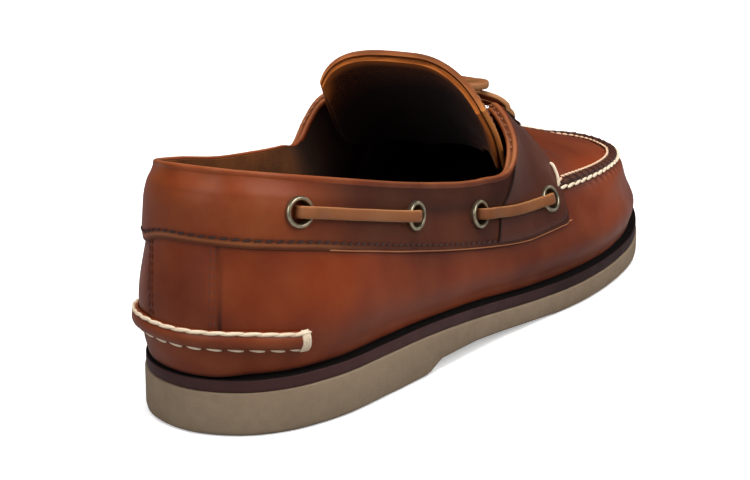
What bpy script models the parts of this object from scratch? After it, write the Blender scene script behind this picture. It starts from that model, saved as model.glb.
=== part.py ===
"""A hand-sewn leather boat shoe for the right foot, men's EU 43.

The toe points to -Y and the shoe stands on Z = 0. The outer (lateral) side is
-X, the inner (medial) side is +X. Sizes in the tables are millimetres.

Everything above the sole is drawn on one surface, the last's own function:
last_point(turn, climb). "turn" runs once round the foot, 0 at the back of the
heel, 0.5 at the toe tip, the outer side first. "climb" runs up from the feather
edge, where the upper meets the sole, to the rim of the foot opening.
"""

import math
from collections import namedtuple

import bmesh
import bpy
import numpy as np
from mathutils import Matrix, Vector

MM = 0.001

# ---------------------------------------------------------------- driving sizes
LENGTH = 298.0
HEEL_Y = 149.0
AXIS_X = 1.45
AXIS_Y = -1.783
GAP = 0.3

HEEL_RUBBER = 13.0
FORE_RUBBER = 6.8
WEDGE_START = 0.22
WEDGE_END = 0.56
MIDSOLE_THICK = 5.8
TOE_SPRING = 8.0
SPRING_START = 0.74
ARCH_RISE = 3.2
ARCH_START = 0.265
ARCH_FULL = 0.30
ARCH_FALL = 0.37
ARCH_END = 0.54
SOLE_ROUND = 0.9

WALL = 2.0
BAND_THICK = 1.6
TONGUE_THICK = 4.0
INSOLE_THICK = 3.2
INSOLE_IN = 8.2

Ring = namedtuple("Ring", "outer hole rise")
SIDE_RING = Ring(5.3, 2.75, 1.3)
TIE_RING = Ring(4.0, 2.5, 0.7)
RING_CLEARANCE = 0.3
RING_MARGIN = 0.4
LACE_WIDE = 4.2
LACE_THICK = 2.2
LACE_CHAMFER = 0.7
RIDGE_WIDE = 7.0
RIDGE_HIGH = 2.4
KICKER_LOW = 28.3
KICKER_HIGH = 34.4
KICKER_PROUD = 2.3
KICKER_END = 0.066
CORD_WIDE = 3.6

# ---------------------------------------------------------------- tables
Outline = namedtuple("Outline", "along lateral medial")
OUTLINE = (
    Outline(0.00, 1.4, -1.4),
    Outline(0.02, 19.5, 16.5),
    Outline(0.05, 27.9, 24.9),
    Outline(0.10, 34.8, 31.6),
    Outline(0.20, 40.1, 36.2),
    Outline(0.30, 43.4, 37.6),
    Outline(0.40, 46.6, 37.4),
    Outline(0.50, 51.4, 38.9),
    Outline(0.60, 56.2, 43.6),
    Outline(0.70, 56.3, 50.8),
    Outline(0.80, 51.4, 54.6),
    Outline(0.90, 37.2, 49.8),
    Outline(0.96, 20.8, 38.8),
    Outline(0.99, 5.0, 25.5),
    Outline(1.00, -9.0, 9.0),
)

# Insets are measured inwards from the sole's edge, "up" is height over the floor.
# foot is the feather edge, belly the fullest part of the wall, edge the lower edge
# of the quarter band (the middle of the wall at the toe), line the eyelet line (the
# sewn ridge at the toe); the swells lift the stretch from line to rim.
Wall = namedtuple(
    "Wall",
    "along foot_in belly_in belly_up edge_in edge_up line_in line_up swell_low swell_high",
)
WALLS = (
    Wall(0.00, 3.6, -1.4, 33.0, 1.9, 59.5, 2.8, 71.0, 0.3, 0.0),
    Wall(0.07, 3.6, -1.2, 32.0, 1.9, 56.0, 3.2, 67.2, 0.3, 0.0),
    Wall(0.23, 3.6, -0.8, 29.0, 2.3, 45.2, 4.4, 55.5, 0.4, 0.2),
    Wall(0.36, 3.6, -0.6, 25.0, 2.5, 37.6, 4.9, 48.0, 0.4, 0.2),
    Wall(0.46, 3.6, -0.6, 22.0, 2.4, 33.2, 5.2, 44.0, 0.8, 0.8),
    Wall(0.55, 3.6, -0.6, 21.0, 2.2, 32.4, 6.6, 44.0, 1.6, 1.6),
    Wall(0.62, 3.6, -0.7, 20.5, 2.2, 31.5, 7.6, 42.9, 1.6, 1.4),
    Wall(0.70, 3.6, -0.6, 20.5, 2.6, 30.5, 8.0, 41.4, 0.0, -1.6),
    Wall(0.80, 3.9, 0.0, 21.5, 4.4, 30.0, 9.6, 39.6, -0.3, -2.4),
    Wall(0.90, 4.6, 0.8, 22.5, 7.2, 29.8, 14.6, 38.4, -0.4, -2.8),
    Wall(1.00, 5.2, 1.8, 24.0, 10.5, 30.2, 26.5, 37.2, -0.4, -2.8),
)

# The rim of the foot opening: collar, rising edge of the eyestay, throat.
Rim = namedtuple("Rim", "along lat_x lat_y lat_up med_x med_y med_up")
RIMS = (
    Rim(0.000, -1.4, 142.9, 82.6, -1.4, 142.9, 82.6),
    Rim(0.030, -14.5, 140.0, 81.8, 11.5, 140.0, 82.2),
    Rim(0.080, -27.0, 125.0, 78.2, 24.2, 125.5, 78.8),
    Rim(0.150, -32.6, 103.6, 72.9, 29.6, 104.0, 73.4),
    Rim(0.230, -36.0, 80.5, 67.1, 32.0, 80.5, 67.4),
    Rim(0.320, -38.8, 54.0, 61.2, 33.6, 54.0, 63.4),
    Rim(0.400, -41.5, 30.0, 57.4, 34.6, 35.0, 61.2),
    Rim(0.455, -43.8, 14.0, 58.0, 36.0, 22.0, 60.2),
    Rim(0.490, -41.0, 5.5, 64.8, 35.8, 14.5, 67.0),
    Rim(0.520, -36.2, 1.5, 71.0, 32.6, 10.5, 73.4),
    Rim(0.550, -30.0, -3.0, 74.6, 26.5, 4.0, 77.2),
    Rim(0.590, -23.5, -12.0, 71.2, 20.5, -7.0, 73.0),
    Rim(0.640, -20.0, -25.0, 64.2, 17.5, -22.5, 65.6),
    Rim(0.720, -13.0, -31.5, 61.2, 11.0, -30.5, 61.8),
    Rim(1.000, -1.0, -33.0, 61.0, -1.0, -33.0, 61.0),
)

CLIMB_KNOTS = (0.0, 0.14, 0.36, 0.55, 0.70, 0.85, 1.0)
LINE_CLIMB = CLIMB_KNOTS[3]
SPINE_TOE = AXIS_Y - 98.4
SPINE_HEEL = AXIS_Y + 107.6


# ---------------------------------------------------------------- small mathematics
def curve_through(xs, ys, x, closed=None):
    """A smooth cubic through the points (xs, ys), read at x.

    closed is the period of xs, for a curve that runs round and meets itself.
    """
    xs = np.asarray(xs, float)
    ys = np.asarray(ys, float).reshape(len(xs), -1)
    x = np.atleast_1d(np.asarray(x, float))
    if closed:
        x = np.mod(x - xs[0], closed) + xs[0]
        xs = np.concatenate([xs[-2:] - closed, xs, xs[:2] + closed])
        ys = np.concatenate([ys[-2:], ys, ys[:2]])
    step = np.diff(xs)
    slope = np.diff(ys, axis=0) / step[:, None]
    tangent = np.empty_like(ys)
    weight = step[1:, None] / (step[1:] + step[:-1])[:, None]
    tangent[1:-1] = slope[:-1] * weight + slope[1:] * (1 - weight)
    tangent[0] = slope[0]
    tangent[-1] = slope[-1]
    i = np.clip(np.searchsorted(xs, x, side="right") - 1, 0, len(step) - 1)
    h = step[i][:, None]
    t = ((x - xs[i]) / step[i])[:, None]
    return (
        ys[i] * (2 * t**3 - 3 * t**2 + 1)
        + tangent[i] * h * (t**3 - 2 * t**2 + t)
        + ys[i + 1] * (3 * t**2 - 2 * t**3)
        + tangent[i + 1] * h * (t**3 - t**2)
    )


def smooth_step(start, end, x):
    t = np.clip((np.asarray(x, float) - start) / (end - start), 0.0, 1.0)
    return t * t * (3 - 2 * t)


# ---------------------------------------------------------------- the sole's outline
def trace_outline():
    """Dense points of the sole's edge for each side, from the heel to the toe tip."""
    lateral = [(-row.lateral, HEEL_Y - row.along * LENGTH) for row in OUTLINE]
    medial = [(row.medial, HEEL_Y - row.along * LENGTH) for row in OUTLINE]
    loop = np.array(lateral + medial[-2:0:-1]) + (AXIS_X, AXIS_Y)
    chord = np.hypot(*np.diff(np.vstack([loop, loop[:1]]), axis=0).T)
    knots = np.concatenate([[0.0], np.cumsum(chord)[:-1]])
    dense = curve_through(knots, loop, np.linspace(0, chord.sum(), 2000, endpoint=False), chord.sum())
    dense = np.roll(dense, -int(dense[:, 1].argmax()), axis=0)
    tip = int(dense[:, 1].argmin())
    return dense[: tip + 1], np.vstack([dense[tip:], dense[:1]])[::-1]


SIDES = trace_outline()
SIDE_RUNS = [np.concatenate([[0.0], np.cumsum(np.hypot(*np.diff(side, axis=0).T))]) for side in SIDES]


def outline_point(turn):
    """Places on the sole's edge at each turn."""
    turn = np.mod(np.atleast_1d(turn), 1.0)
    points = np.empty((len(turn), 2))
    for side, (edge, run) in enumerate(zip(SIDES, SIDE_RUNS)):
        mine = (turn <= 0.5) if side == 0 else (turn > 0.5)
        part = np.where(side == 0, turn[mine] * 2, 2 - turn[mine] * 2)
        for axis in (0, 1):
            points[mine, axis] = np.interp(part * run[-1], run, edge[:, axis])
    return points


def turn_at(along, side):
    """The turn at which the edge has come this share of the length, on side 0 (outer) or 1."""
    edge, run = SIDES[side], SIDE_RUNS[side]
    here = np.interp(along, (edge[0, 1] - edge[:, 1]) / LENGTH, run) / run[-1] / 2
    return here if side == 0 else 1 - here


def half_widths(y):
    return [np.interp(-np.asarray(y, float), -edge[:, 1], edge[:, 0]) for edge in SIDES]


# ---------------------------------------------------------------- the sole's heights
def along_of(y):
    return (SIDES[0][0, 1] - np.asarray(y, float)) / LENGTH


def toe_lift(y):
    share = np.clip((along_of(y) - SPRING_START) / (1 - SPRING_START), 0, 1)
    return TOE_SPRING * share**1.8


def outsole_bottom(y):
    s = along_of(y)
    arch = smooth_step(ARCH_START, ARCH_FULL, s) * (1 - np.clip((s - ARCH_FALL) / (ARCH_END - ARCH_FALL), 0, 1))
    return toe_lift(y) + ARCH_RISE * arch


def outsole_top(y):
    return toe_lift(y) + HEEL_RUBBER + (FORE_RUBBER - HEEL_RUBBER) * smooth_step(WEDGE_START, WEDGE_END, along_of(y))


def midsole_bottom(y):
    return outsole_top(y) + GAP


def midsole_top(y):
    return midsole_bottom(y) + MIDSOLE_THICK


def insole_bottom(y):
    return midsole_top(y) + GAP


def insole_top(y):
    return insole_bottom(y) + INSOLE_THICK


# ---------------------------------------------------------------- the last's surface
def section_table():
    """One row for each section round the foot: its turn, wall sizes and rim point."""
    rows = []
    stations = sorted({row.along for row in WALLS} | {row.along for row in RIMS})
    wall_at = curve_through([row.along for row in WALLS], [row[1:] for row in WALLS], stations)
    rim_at = curve_through([row.along for row in RIMS], [row[1:] for row in RIMS], stations)
    for side in (0, 1):
        for along, wall, rim in zip(stations, wall_at, rim_at):
            if side and along in (0.0, 1.0):
                continue
            place = rim[3 * side: 3 * side + 3] + (AXIS_X, AXIS_Y, 0.0)
            rows.append((turn_at(along, side), *wall, *place))
    return np.array(sorted(rows))


SECTIONS = section_table()


def inset(turn, distance):
    """Places on the plan that lie inwards of the edge, towards the foot's middle line."""
    edge = outline_point(turn)
    y = np.clip(edge[:, 1], SPINE_TOE, SPINE_HEEL)
    lateral, medial = half_widths(y)
    inwards = np.column_stack([(lateral + medial) / 2, y]) - edge
    inwards /= np.linalg.norm(inwards, axis=1)[:, None]
    return edge + inwards * np.asarray(distance, float)[:, None]


def last_point(turn, climb):
    """The outer surface of the upper, in millimetres, at each turn and climb."""
    turn = np.atleast_1d(np.asarray(turn, float))
    climb = np.broadcast_to(np.asarray(climb, float), turn.shape)
    row = curve_through(SECTIONS[:, 0], SECTIONS[:, 1:], turn, closed=1.0)
    foot_in, belly_in, belly_up, edge_in, edge_up, line_in, line_up, swell_low, swell_high = row[:, :9].T
    rim = row[:, 9:12]
    foot = inset(turn, foot_in)
    foot = np.column_stack([foot, midsole_top(foot[:, 1]) + GAP])
    belly = np.column_stack([inset(turn, belly_in), belly_up])
    edge = np.column_stack([inset(turn, edge_in), edge_up])
    line = np.column_stack([inset(turn, line_in), line_up])
    low_lift = swell_low[:, None] * (0.0, 0.0, 1.0)
    high_lift = swell_high[:, None] * (0.0, 0.0, 1.0)
    knots = np.stack([
        foot,
        belly,
        edge,
        line,
        line + (rim - line) / 3 + low_lift,
        line + (rim - line) * 2 / 3 + high_lift,
        rim,
    ])
    out = np.empty((len(turn), 3))
    for i, height in enumerate(climb):
        out[i] = curve_through(CLIMB_KNOTS, knots[:, i], height)[0]
    return out


def last_normal(turn, climb):
    step = 0.002
    climb = np.broadcast_to(np.asarray(climb, float), np.shape(turn))
    low = np.clip(climb - step, 0, 1)
    high = np.clip(climb + step, 0, 1)
    turn = np.asarray(turn, float)
    across = last_point(turn + step, climb) - last_point(turn - step, climb)
    upward = last_point(turn, high) - last_point(turn, low)
    normal = np.cross(across, upward)
    return normal / np.linalg.norm(normal, axis=1)[:, None]


def skin(turn, climb, proud=0.0):
    """Points on the last's surface, moved outwards by proud millimetres."""
    return last_point(turn, climb) + last_normal(turn, climb) * np.asarray(proud, float).reshape(-1, 1)


def climb_step(turn, climb, distance):
    """How much climb covers a distance in millimetres up the surface."""
    turn = np.asarray(turn, float)
    reach = last_point(turn, climb + 0.02) - last_point(turn, climb - 0.02)
    return np.asarray(distance, float) / (np.linalg.norm(reach, axis=1) / 0.04)


# ---------------------------------------------------------------- the scene's helpers
def clear_scene():
    for item in list(bpy.data.objects):
        bpy.data.objects.remove(item, do_unlink=True)
    for item in list(bpy.data.collections):
        bpy.data.collections.remove(item)


def make_material(name, colour, roughness, metallic=0.0):
    material = bpy.data.materials.new(name)
    material.use_nodes = True
    shader = material.node_tree.nodes["Principled BSDF"]
    shader.inputs["Base Color"].default_value = (*colour, 1.0)
    shader.inputs["Roughness"].default_value = roughness
    shader.inputs["Metallic"].default_value = metallic
    material.diffuse_color = (*colour, 1.0)
    return material


def add_body(name, bm, material, collection):
    """Turn a bmesh drawn in millimetres into an object in metres."""
    bmesh.ops.remove_doubles(bm, verts=bm.verts, dist=0.005)
    bmesh.ops.scale(bm, vec=(MM, MM, MM), verts=bm.verts)
    bmesh.ops.recalc_face_normals(bm, faces=bm.faces)
    if bm.calc_volume(signed=True) < 0:
        bmesh.ops.reverse_faces(bm, faces=bm.faces)
    mesh = bpy.data.meshes.new(name)
    bm.to_mesh(mesh)
    bm.free()
    mesh.materials.append(material)
    mesh.shade_smooth()
    mesh.set_sharp_from_angle(angle=math.radians(35))
    body = bpy.data.objects.new(name, mesh)
    collection.objects.link(body)
    return body


def bridge(bm, first, second, closed):
    """Quads between two rows of vertices."""
    count = len(first)
    for i in range(count if closed else count - 1):
        j = (i + 1) % count
        corners = [first[i], first[j], second[j], second[i]]
        unlike = [v for k, v in enumerate(corners) if (v.co - corners[k - 1].co).length > 1e-4]
        if len(unlike) > 2:
            bm.faces.new(unlike)


def loft(sections, closed=False, caps=False):
    """A bmesh through rings of points; closed joins the last ring to the first."""
    bm = bmesh.new()
    rings = [[bm.verts.new(point) for point in ring] for ring in sections]
    for first, second in zip(rings, rings[1:]):
        bridge(bm, first, second, True)
    if closed:
        bridge(bm, rings[-1], rings[0], True)
    if caps:
        bm.faces.new(rings[0])
        bm.faces.new(rings[-1])
    return bm


# ---------------------------------------------------------------- the sole
SOLE_RUNGS = 38
SOLE_ACROSS = 2


def sole_rungs(inset_by, count=SOLE_RUNGS):
    """Pairs of facing edge points, close together at the round ends."""
    share = 0.5 - 0.5 * np.cos(np.linspace(0, math.pi, count + 1))
    share = 0.45 * share + 0.55 * np.linspace(0, 1, count + 1)
    lateral = inset(share / 2, np.full(count + 1, inset_by))
    medial = inset(1 - share / 2, np.full(count + 1, inset_by))
    medial[0] = lateral[0]
    medial[-1] = lateral[-1]
    return lateral, medial


def make_slab(name, bottom, top, inset_by, rounding, material, collection):
    """A layer of the sole between two height functions of y."""
    lateral, medial = sole_rungs(inset_by)
    bm = bmesh.new()
    rows = []
    for left, right in zip(lateral, medial):
        across = [left + (right - left) * k / SOLE_ACROSS for k in range(SOLE_ACROSS + 1)]
        rows.append([bm.verts.new((x, y, 0.0)) for x, y in across])
    for first, second in zip(rows, rows[1:]):
        bridge(bm, first, second, False)
    bmesh.ops.remove_doubles(bm, verts=bm.verts, dist=0.01)
    lower = list(bm.verts)
    grown = bmesh.ops.extrude_face_region(bm, geom=list(bm.faces))
    upper = [item for item in grown["geom"] if isinstance(item, bmesh.types.BMVert)]
    for vert in lower:
        vert.co.z = float(bottom(vert.co.y))
    for vert in upper:
        vert.co.z = float(top(vert.co.y))
    bmesh.ops.recalc_face_normals(bm, faces=bm.faces)
    corners = [edge for edge in bm.edges if edge.calc_face_angle(0.0) > 1.0]
    bmesh.ops.bevel(
        bm,
        geom=corners,
        offset=rounding,
        affect="EDGES",
        segments=1,
        profile=0.5,
        material=-1,
        clamp_overlap=True,
    )
    return add_body(name, bm, material, collection)


# ---------------------------------------------------------------- the upper
COLUMN_SPANS = (
    ((0.00, 0), (0.40, 0), 13),
    ((0.40, 0), (0.64, 0), 13),
    ((0.64, 0), (0.64, 1), 33),
    ((0.64, 1), (0.40, 1), 13),
    ((0.40, 1), (0.00, 1), 13),
)
ROWS = (0.0, 0.06, 0.14, 0.24, 0.36, 0.455, 0.55, 0.66, 0.77, 0.89, 1.0)


def column_turns():
    """The turns of the upper's columns, closer together where the eyestay rises."""
    spans = []
    for first, last, count in COLUMN_SPANS:
        start = turn_at(*first)
        end = 1.0 if last == (0.00, 1) else turn_at(*last)
        spans.append(np.linspace(start, end, count)[:-1])
    return np.concatenate(spans)


COLUMNS = column_turns()


def columns_within(along):
    """The upper's columns from the medial side round the heel to the lateral side."""
    wrapped = np.where(COLUMNS > 0.5, COLUMNS - 1, COLUMNS)
    keep = (wrapped >= turn_at(along, 1) - 1.0005) & (wrapped <= turn_at(along, 0) + 0.0005)
    return np.sort(wrapped[keep])


def columns_round_toe(along):
    """The upper's columns from the lateral side round the toe to the medial side."""
    keep = (COLUMNS >= turn_at(along, 0) - 0.0005) & (COLUMNS <= turn_at(along, 1) + 0.0005)
    return COLUMNS[keep]


def along_at(turn):
    """The share of the length at which a turn lies."""
    return along_of(outline_point(turn)[:, 1])


def make_upper(material, collection):
    """The whole upper, one hollow shell with a real wall, open above and below."""
    outer = [skin(COLUMNS, np.full(len(COLUMNS), climb)) for climb in ROWS]
    inner = [skin(COLUMNS, np.full(len(COLUMNS), climb), -WALL) for climb in ROWS[::-1]]
    for ring in inner:
        ring[:, 2] = np.maximum(ring[:, 2], midsole_top(ring[:, 1]) + GAP)
    bm = loft(outer + inner, closed=True)
    return add_body("upper", bm, material, collection)


# ---------------------------------------------------------------- pieces on the upper
def make_strip(name, turns, climbs, prouds, seats, material, collection):
    """A piece laid on the upper, its back GAP and a little more clear of the leather.

    climbs and prouds hold a row for each turn, seats the extra clearance at each turn.
    """
    sections = []
    for turn, heights, proud, seat in zip(turns, climbs, prouds, seats):
        column = np.full(len(heights), turn)
        front = skin(column, heights, GAP + seat + np.asarray(proud))
        back = skin(column, heights, GAP + seat)
        sections.append(np.vstack([front, back[::-1]]))
    bm = loft(sections, caps=True)
    return add_body(name, bm, material, collection)


BandEdge = namedtuple("BandEdge", "along low high")
BAND_EDGES = (
    BandEdge(0.000, 0.36, 0.970),
    BandEdge(0.545, 0.36, 0.975),
    BandEdge(0.566, 0.37, 0.975),
    BandEdge(0.580, 0.60, 0.975),
    BandEdge(0.605, 0.78, 0.975),
    BandEdge(0.636, 0.92, 0.975),
)
BAND_FRONT = 0.636


def band_seat(along):
    """The band lies a little looser where it twists up into the eyestay."""
    return 0.35 * smooth_step(0.46, 0.54, along)


def make_band(material, collection):
    """The overlay round the quarters, which rises into the eyestays at the throat."""
    turns = columns_within(BAND_FRONT)
    along = along_at(turns)
    low = np.interp(along, [row.along for row in BAND_EDGES], [row.low for row in BAND_EDGES])
    high = np.interp(along, [row.along for row in BAND_EDGES], [row.high for row in BAND_EDGES])
    rows = np.array([row for row in ROWS if row >= 0.36])
    climbs = np.clip(rows[None, :], low[:, None], high[:, None])
    climbs[:, 0] = low
    climbs[:, -1] = high
    prouds = np.full(climbs.shape, BAND_THICK)
    return make_strip("quarter_band", turns, climbs, prouds, band_seat(along), material, collection)


def rounded(count, edge, middle):
    """How proud a rolled strip stands across its width."""
    share = np.linspace(-1, 1, count)
    return edge + (middle - edge) * (1 - share**2)


def make_moc_ridge(material, collection):
    """The puckered ridge where the toe's apron is sewn to its wall."""
    turns = columns_round_toe(0.585)
    count = len(turns)
    wide = climb_step(turns, LINE_CLIMB, RIDGE_WIDE)
    ends = np.minimum(np.arange(count), np.arange(count)[::-1])
    wide = wide * np.clip(ends / 2, 0.35, 1)
    share = np.linspace(-0.25, 0.75, 6)
    climbs = LINE_CLIMB + wide[:, None] * share[None, :]
    prouds = np.tile(rounded(6, 0.5, RIDGE_HIGH), (count, 1))
    return make_strip("moc_ridge", turns, climbs, prouds, np.full(count, 0.15), material, collection)


def climb_at_height(turn, height):
    """The climb on the wall at which the surface reaches a height."""
    climbs = np.linspace(0.05, 0.5, 60)
    heights = last_point(np.full(60, turn), climbs)[:, 2]
    return float(np.interp(height, heights, climbs))


def make_heel_kicker(material, collection):
    """The rolled leather bar sewn round the back of the heel."""
    turns = columns_within(KICKER_END)
    turns = np.sort(np.concatenate([turns, [turn_at(KICKER_END, 0), turn_at(KICKER_END, 1) - 1]]))
    count = len(turns)
    lows = np.array([climb_at_height(turn, KICKER_LOW) for turn in turns])
    highs = np.array([climb_at_height(turn, KICKER_HIGH) for turn in turns])
    middle = (lows + highs) / 2
    half = (highs - lows) / 2
    half[[0, -1]] *= 0.6
    climbs = middle[:, None] + half[:, None] * np.linspace(-1, 1, 5)[None, :]
    prouds = np.tile(rounded(5, 0.7, KICKER_PROUD), (count, 1))
    return make_strip("heel_kicker", turns, climbs, prouds, np.zeros(count), material, collection)


# ---------------------------------------------------------------- the tongue
Slice = namedtuple("Slice", "mid_x mid_y mid_up lat_half med_half lat_drop med_drop edge_y")
TONGUE = (
    Slice(0.0, -37.5, 54.6, 12.0, 12.0, 2.2, 2.2, 0.0),
    Slice(0.0, -29.0, 59.8, 17.0, 17.0, 4.4, 4.4, 0.5),
    Slice(-0.4, -18.0, 67.6, 24.6, 24.0, 11.0, 11.0, 1.0),
    Slice(-2.4, -5.0, 77.4, 30.6, 31.8, 22.6, 20.0, 3.0),
    Slice(-5.8, 8.0, 87.4, 28.6, 35.4, 19.0, 16.5, 1.8),
    Slice(-10.3, 20.6, 96.4, 24.4, 39.0, 17.2, 14.0, -3.6),
)
TONGUE_ROWS = 12
TONGUE_COLUMNS = 10
TONGUE_BEND = 2.2
TONGUE_FULL = 1.12


def tongue_point(climb, across):
    """The tongue's outer face; climb 0 at the throat to 1 at its free edge, across -1 to 1."""
    row = curve_through(np.linspace(0, 1, len(TONGUE)), TONGUE, climb)[0]
    mid_x, mid_y, mid_up, lat_half, med_half, lat_drop, med_drop, edge_y = row
    bend = abs(across) ** TONGUE_BEND
    half = lat_half if across < 0 else med_half
    drop = lat_drop if across < 0 else med_drop
    return Vector((
        AXIS_X + mid_x + half * across * (TONGUE_FULL + (1 - TONGUE_FULL) * bend),
        AXIS_Y + mid_y + edge_y * bend,
        mid_up - drop * bend,
    ))


def tongue_normal(climb, across):
    step = 0.01
    upward = tongue_point(min(climb + step, 1), across) - tongue_point(max(climb - step, 0), across)
    inward = tongue_point(climb, min(across + step, 1)) - tongue_point(climb, max(across - step, -1))
    return inward.cross(upward).normalized()


def tongue_grid(proud):
    """Rows of points on the tongue, moved out from its outer face."""
    rows = []
    for climb in np.linspace(0, 1, TONGUE_ROWS + 1):
        places = np.linspace(-1, 1, TONGUE_COLUMNS + 1)
        rows.append([tongue_point(climb, a) + tongue_normal(climb, a) * proud for a in places])
    return rows


def make_tongue(material, collection):
    front = tongue_grid(0.0)
    back = tongue_grid(-TONGUE_THICK)
    sections = [face + under[::-1] for face, under in zip(front, back)]
    bm = loft(sections, caps=True)
    return add_body("tongue", bm, material, collection)


# ---------------------------------------------------------------- eyelets
Eyelet = namedtuple("Eyelet", "name along climb ring")
FRONT_EYELETS = (
    Eyelet("2", 0.2513, 0.582, SIDE_RING),
    Eyelet("3", 0.3828, 0.544, SIDE_RING),
    Eyelet("4", 0.5295, 0.519, SIDE_RING),
)
EYELETS = (
    (Eyelet("1", 0.0627, 0.564, SIDE_RING),) + FRONT_EYELETS,
    (Eyelet("1", 0.112, 0.571, SIDE_RING),) + FRONT_EYELETS,
)
TIE_EYELETS = (
    Eyelet("1", 0.585, 0.925, TIE_RING),
    Eyelet("2", 0.625, 0.925, TIE_RING),
)
SIDE_NAMES = ("lateral", "medial")
BAND_TOP = GAP + BAND_THICK
RING_STEPS = 12
RING_SHOULDER = 0.45
RING_CROWN = 0.4
TURN_WINDOW = 0.01
CLIMB_WINDOW = 0.11
WINDOW_STEPS = 9


def eyelet_lift(row, side):
    """How far the band rises above its own tangent plane under an eyelet."""
    turn = turn_at(row.along, side)
    centre = last_point([turn], row.climb)[0]
    normal = last_normal([turn], row.climb)[0]
    turns, climbs = np.meshgrid(
        np.linspace(-TURN_WINDOW, TURN_WINDOW, WINDOW_STEPS) + turn,
        np.linspace(-CLIMB_WINDOW, CLIMB_WINDOW, WINDOW_STEPS) + row.climb,
    )
    near = last_point(turns.ravel(), np.clip(climbs.ravel(), 0, 1)) - centre
    high = near @ normal
    across = np.linalg.norm(near - high[:, None] * normal, axis=1)
    hollow = max(0.0, float(high[across < row.ring.outer + RING_MARGIN].max()))
    return hollow + RING_CLEARANCE + float(band_seat(row.along))


def make_eyelet(name, row, side, material, collection):
    """A rolled metal ring standing GAP off the band, square to it."""
    turn = np.array([turn_at(row.along, side)])
    centre = Vector(skin(turn, row.climb, BAND_TOP + GAP + eyelet_lift(row, side))[0])
    normal = Vector(last_normal(turn, row.climb)[0])
    turning = normal.to_track_quat("Z", "Y").to_matrix().to_4x4()
    outer, hole, high = row.ring
    mid = (outer + hole) / 2
    shoulder = high * RING_SHOULDER
    profile = (
        (hole, 0.0),
        (outer, 0.0),
        (outer, shoulder),
        (mid + RING_CROWN, high),
        (mid - RING_CROWN, high),
        (hole, shoulder),
    )
    bm = bmesh.new()
    verts = [bm.verts.new((radius, 0.0, rise)) for radius, rise in profile]
    edges = [bm.edges.new((verts[i - 1], verts[i])) for i in range(len(verts))]
    bmesh.ops.spin(
        bm,
        geom=verts + edges,
        cent=(0, 0, 0),
        axis=(0, 0, 1),
        angle=2 * math.pi,
        steps=RING_STEPS,
        use_merge=True,
    )
    bmesh.ops.transform(bm, matrix=Matrix.Translation(centre) @ turning, verts=bm.verts)
    return add_body(name, bm, material, collection)


# ---------------------------------------------------------------- laces
Rise = namedtuple("Rise", "along up")
LACE_OUT_OF_EYELET = (
    Rise(0.0, 2.6),
    Rise(0.0, 3.5),
    Rise(0.5, 4.5),
    Rise(1.5, 5.1),
    Rise(4.9, 5.15),
    Rise(6.6, 4.6),
    Rise(9.4, 3.45),
)
LACE_OUT_OF_TIE = (
    Rise(0.0, 2.5),
    Rise(0.0, 3.1),
    Rise(0.5, 3.9),
    Rise(1.4, 4.4),
    Rise(3.7, 4.45),
)


def strap_rings(points, widths):
    """Rounded rectangles square to a path, their long side along the width vectors."""
    points = np.asarray(points, float)
    tangents = np.gradient(points, axis=0)
    half_w = LACE_WIDE / 2
    half_t = LACE_THICK / 2
    flat = half_w - LACE_CHAMFER
    outline = (
        (half_w, 0.0),
        (flat, half_t),
        (-flat, half_t),
        (-half_w, 0.0),
        (-flat, -half_t),
        (flat, -half_t),
    )
    rings = []
    for point, tangent, width in zip(points, tangents, widths):
        forward = Vector(tangent).normalized()
        across = Vector(width)
        across = (across - forward * across.dot(forward)).normalized()
        out = across.cross(forward)
        rings.append([Vector(point) + across * w + out * t for w, t in outline])
    return rings


def make_strap(name, points, widths, material, collection):
    bm = loft(strap_rings(points, widths), caps=True)
    return add_body(name, bm, material, collection)


def columns_at(places, run, table):
    return np.column_stack([np.interp(places, run, table[:, axis]) for axis in range(3)])


def make_lace_bar(name, first, last, side, material, collection):
    """The lace between two eyelets, its ends turned down into their holes."""
    turns = np.linspace(turn_at(first.along, side), turn_at(last.along, side), 120)
    climbs = np.linspace(first.climb, last.climb, 120)
    points = last_point(turns, climbs)
    normals = last_normal(turns, climbs)
    widths = np.cross(normals, np.gradient(points, axis=0))
    widths /= np.linalg.norm(widths, axis=1)[:, None]
    run = np.concatenate([[0.0], np.cumsum(np.linalg.norm(np.diff(points, axis=0), axis=1))])
    ends = np.array([row.along for row in LACE_OUT_OF_EYELET])
    heights = np.array([row.up for row in LACE_OUT_OF_EYELET])
    length = run[-1]
    count = int((length - 2 * ends[-1]) / 7) + 2
    middle = np.linspace(ends[-1], length - ends[-1], count)[1:-1]
    places = np.concatenate([ends, middle, length - ends[::-1]])
    low = np.full(len(middle), BAND_TOP + GAP + LACE_THICK / 2 + 0.1)
    lifts = np.interp(places, [0, length], [eyelet_lift(first, side), eyelet_lift(last, side)])
    rises = np.concatenate([heights, low, heights[::-1]]) + lifts
    path = columns_at(places, run, points) + columns_at(places, run, normals) * rises[:, None]
    return make_strap(name, path, columns_at(places, run, widths), material, collection)


TieStop = namedtuple("TieStop", "x y up")
LACE_LEAN = (0.0, 0.62, 0.78)
CROSSING_MIDDLE = (
    TieStop(18.4, -21.8, 72.2),
    TieStop(9.0, -22.4, 70.8),
    TieStop(0.0, -22.6, 69.6),
)
TIE_BAR_MIDDLE = (
    TieStop(21.6, -11.0, 77.0),
    TieStop(15.0, -11.0, 77.4),
    TieStop(7.6, -10.6, 77.8),
)


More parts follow.
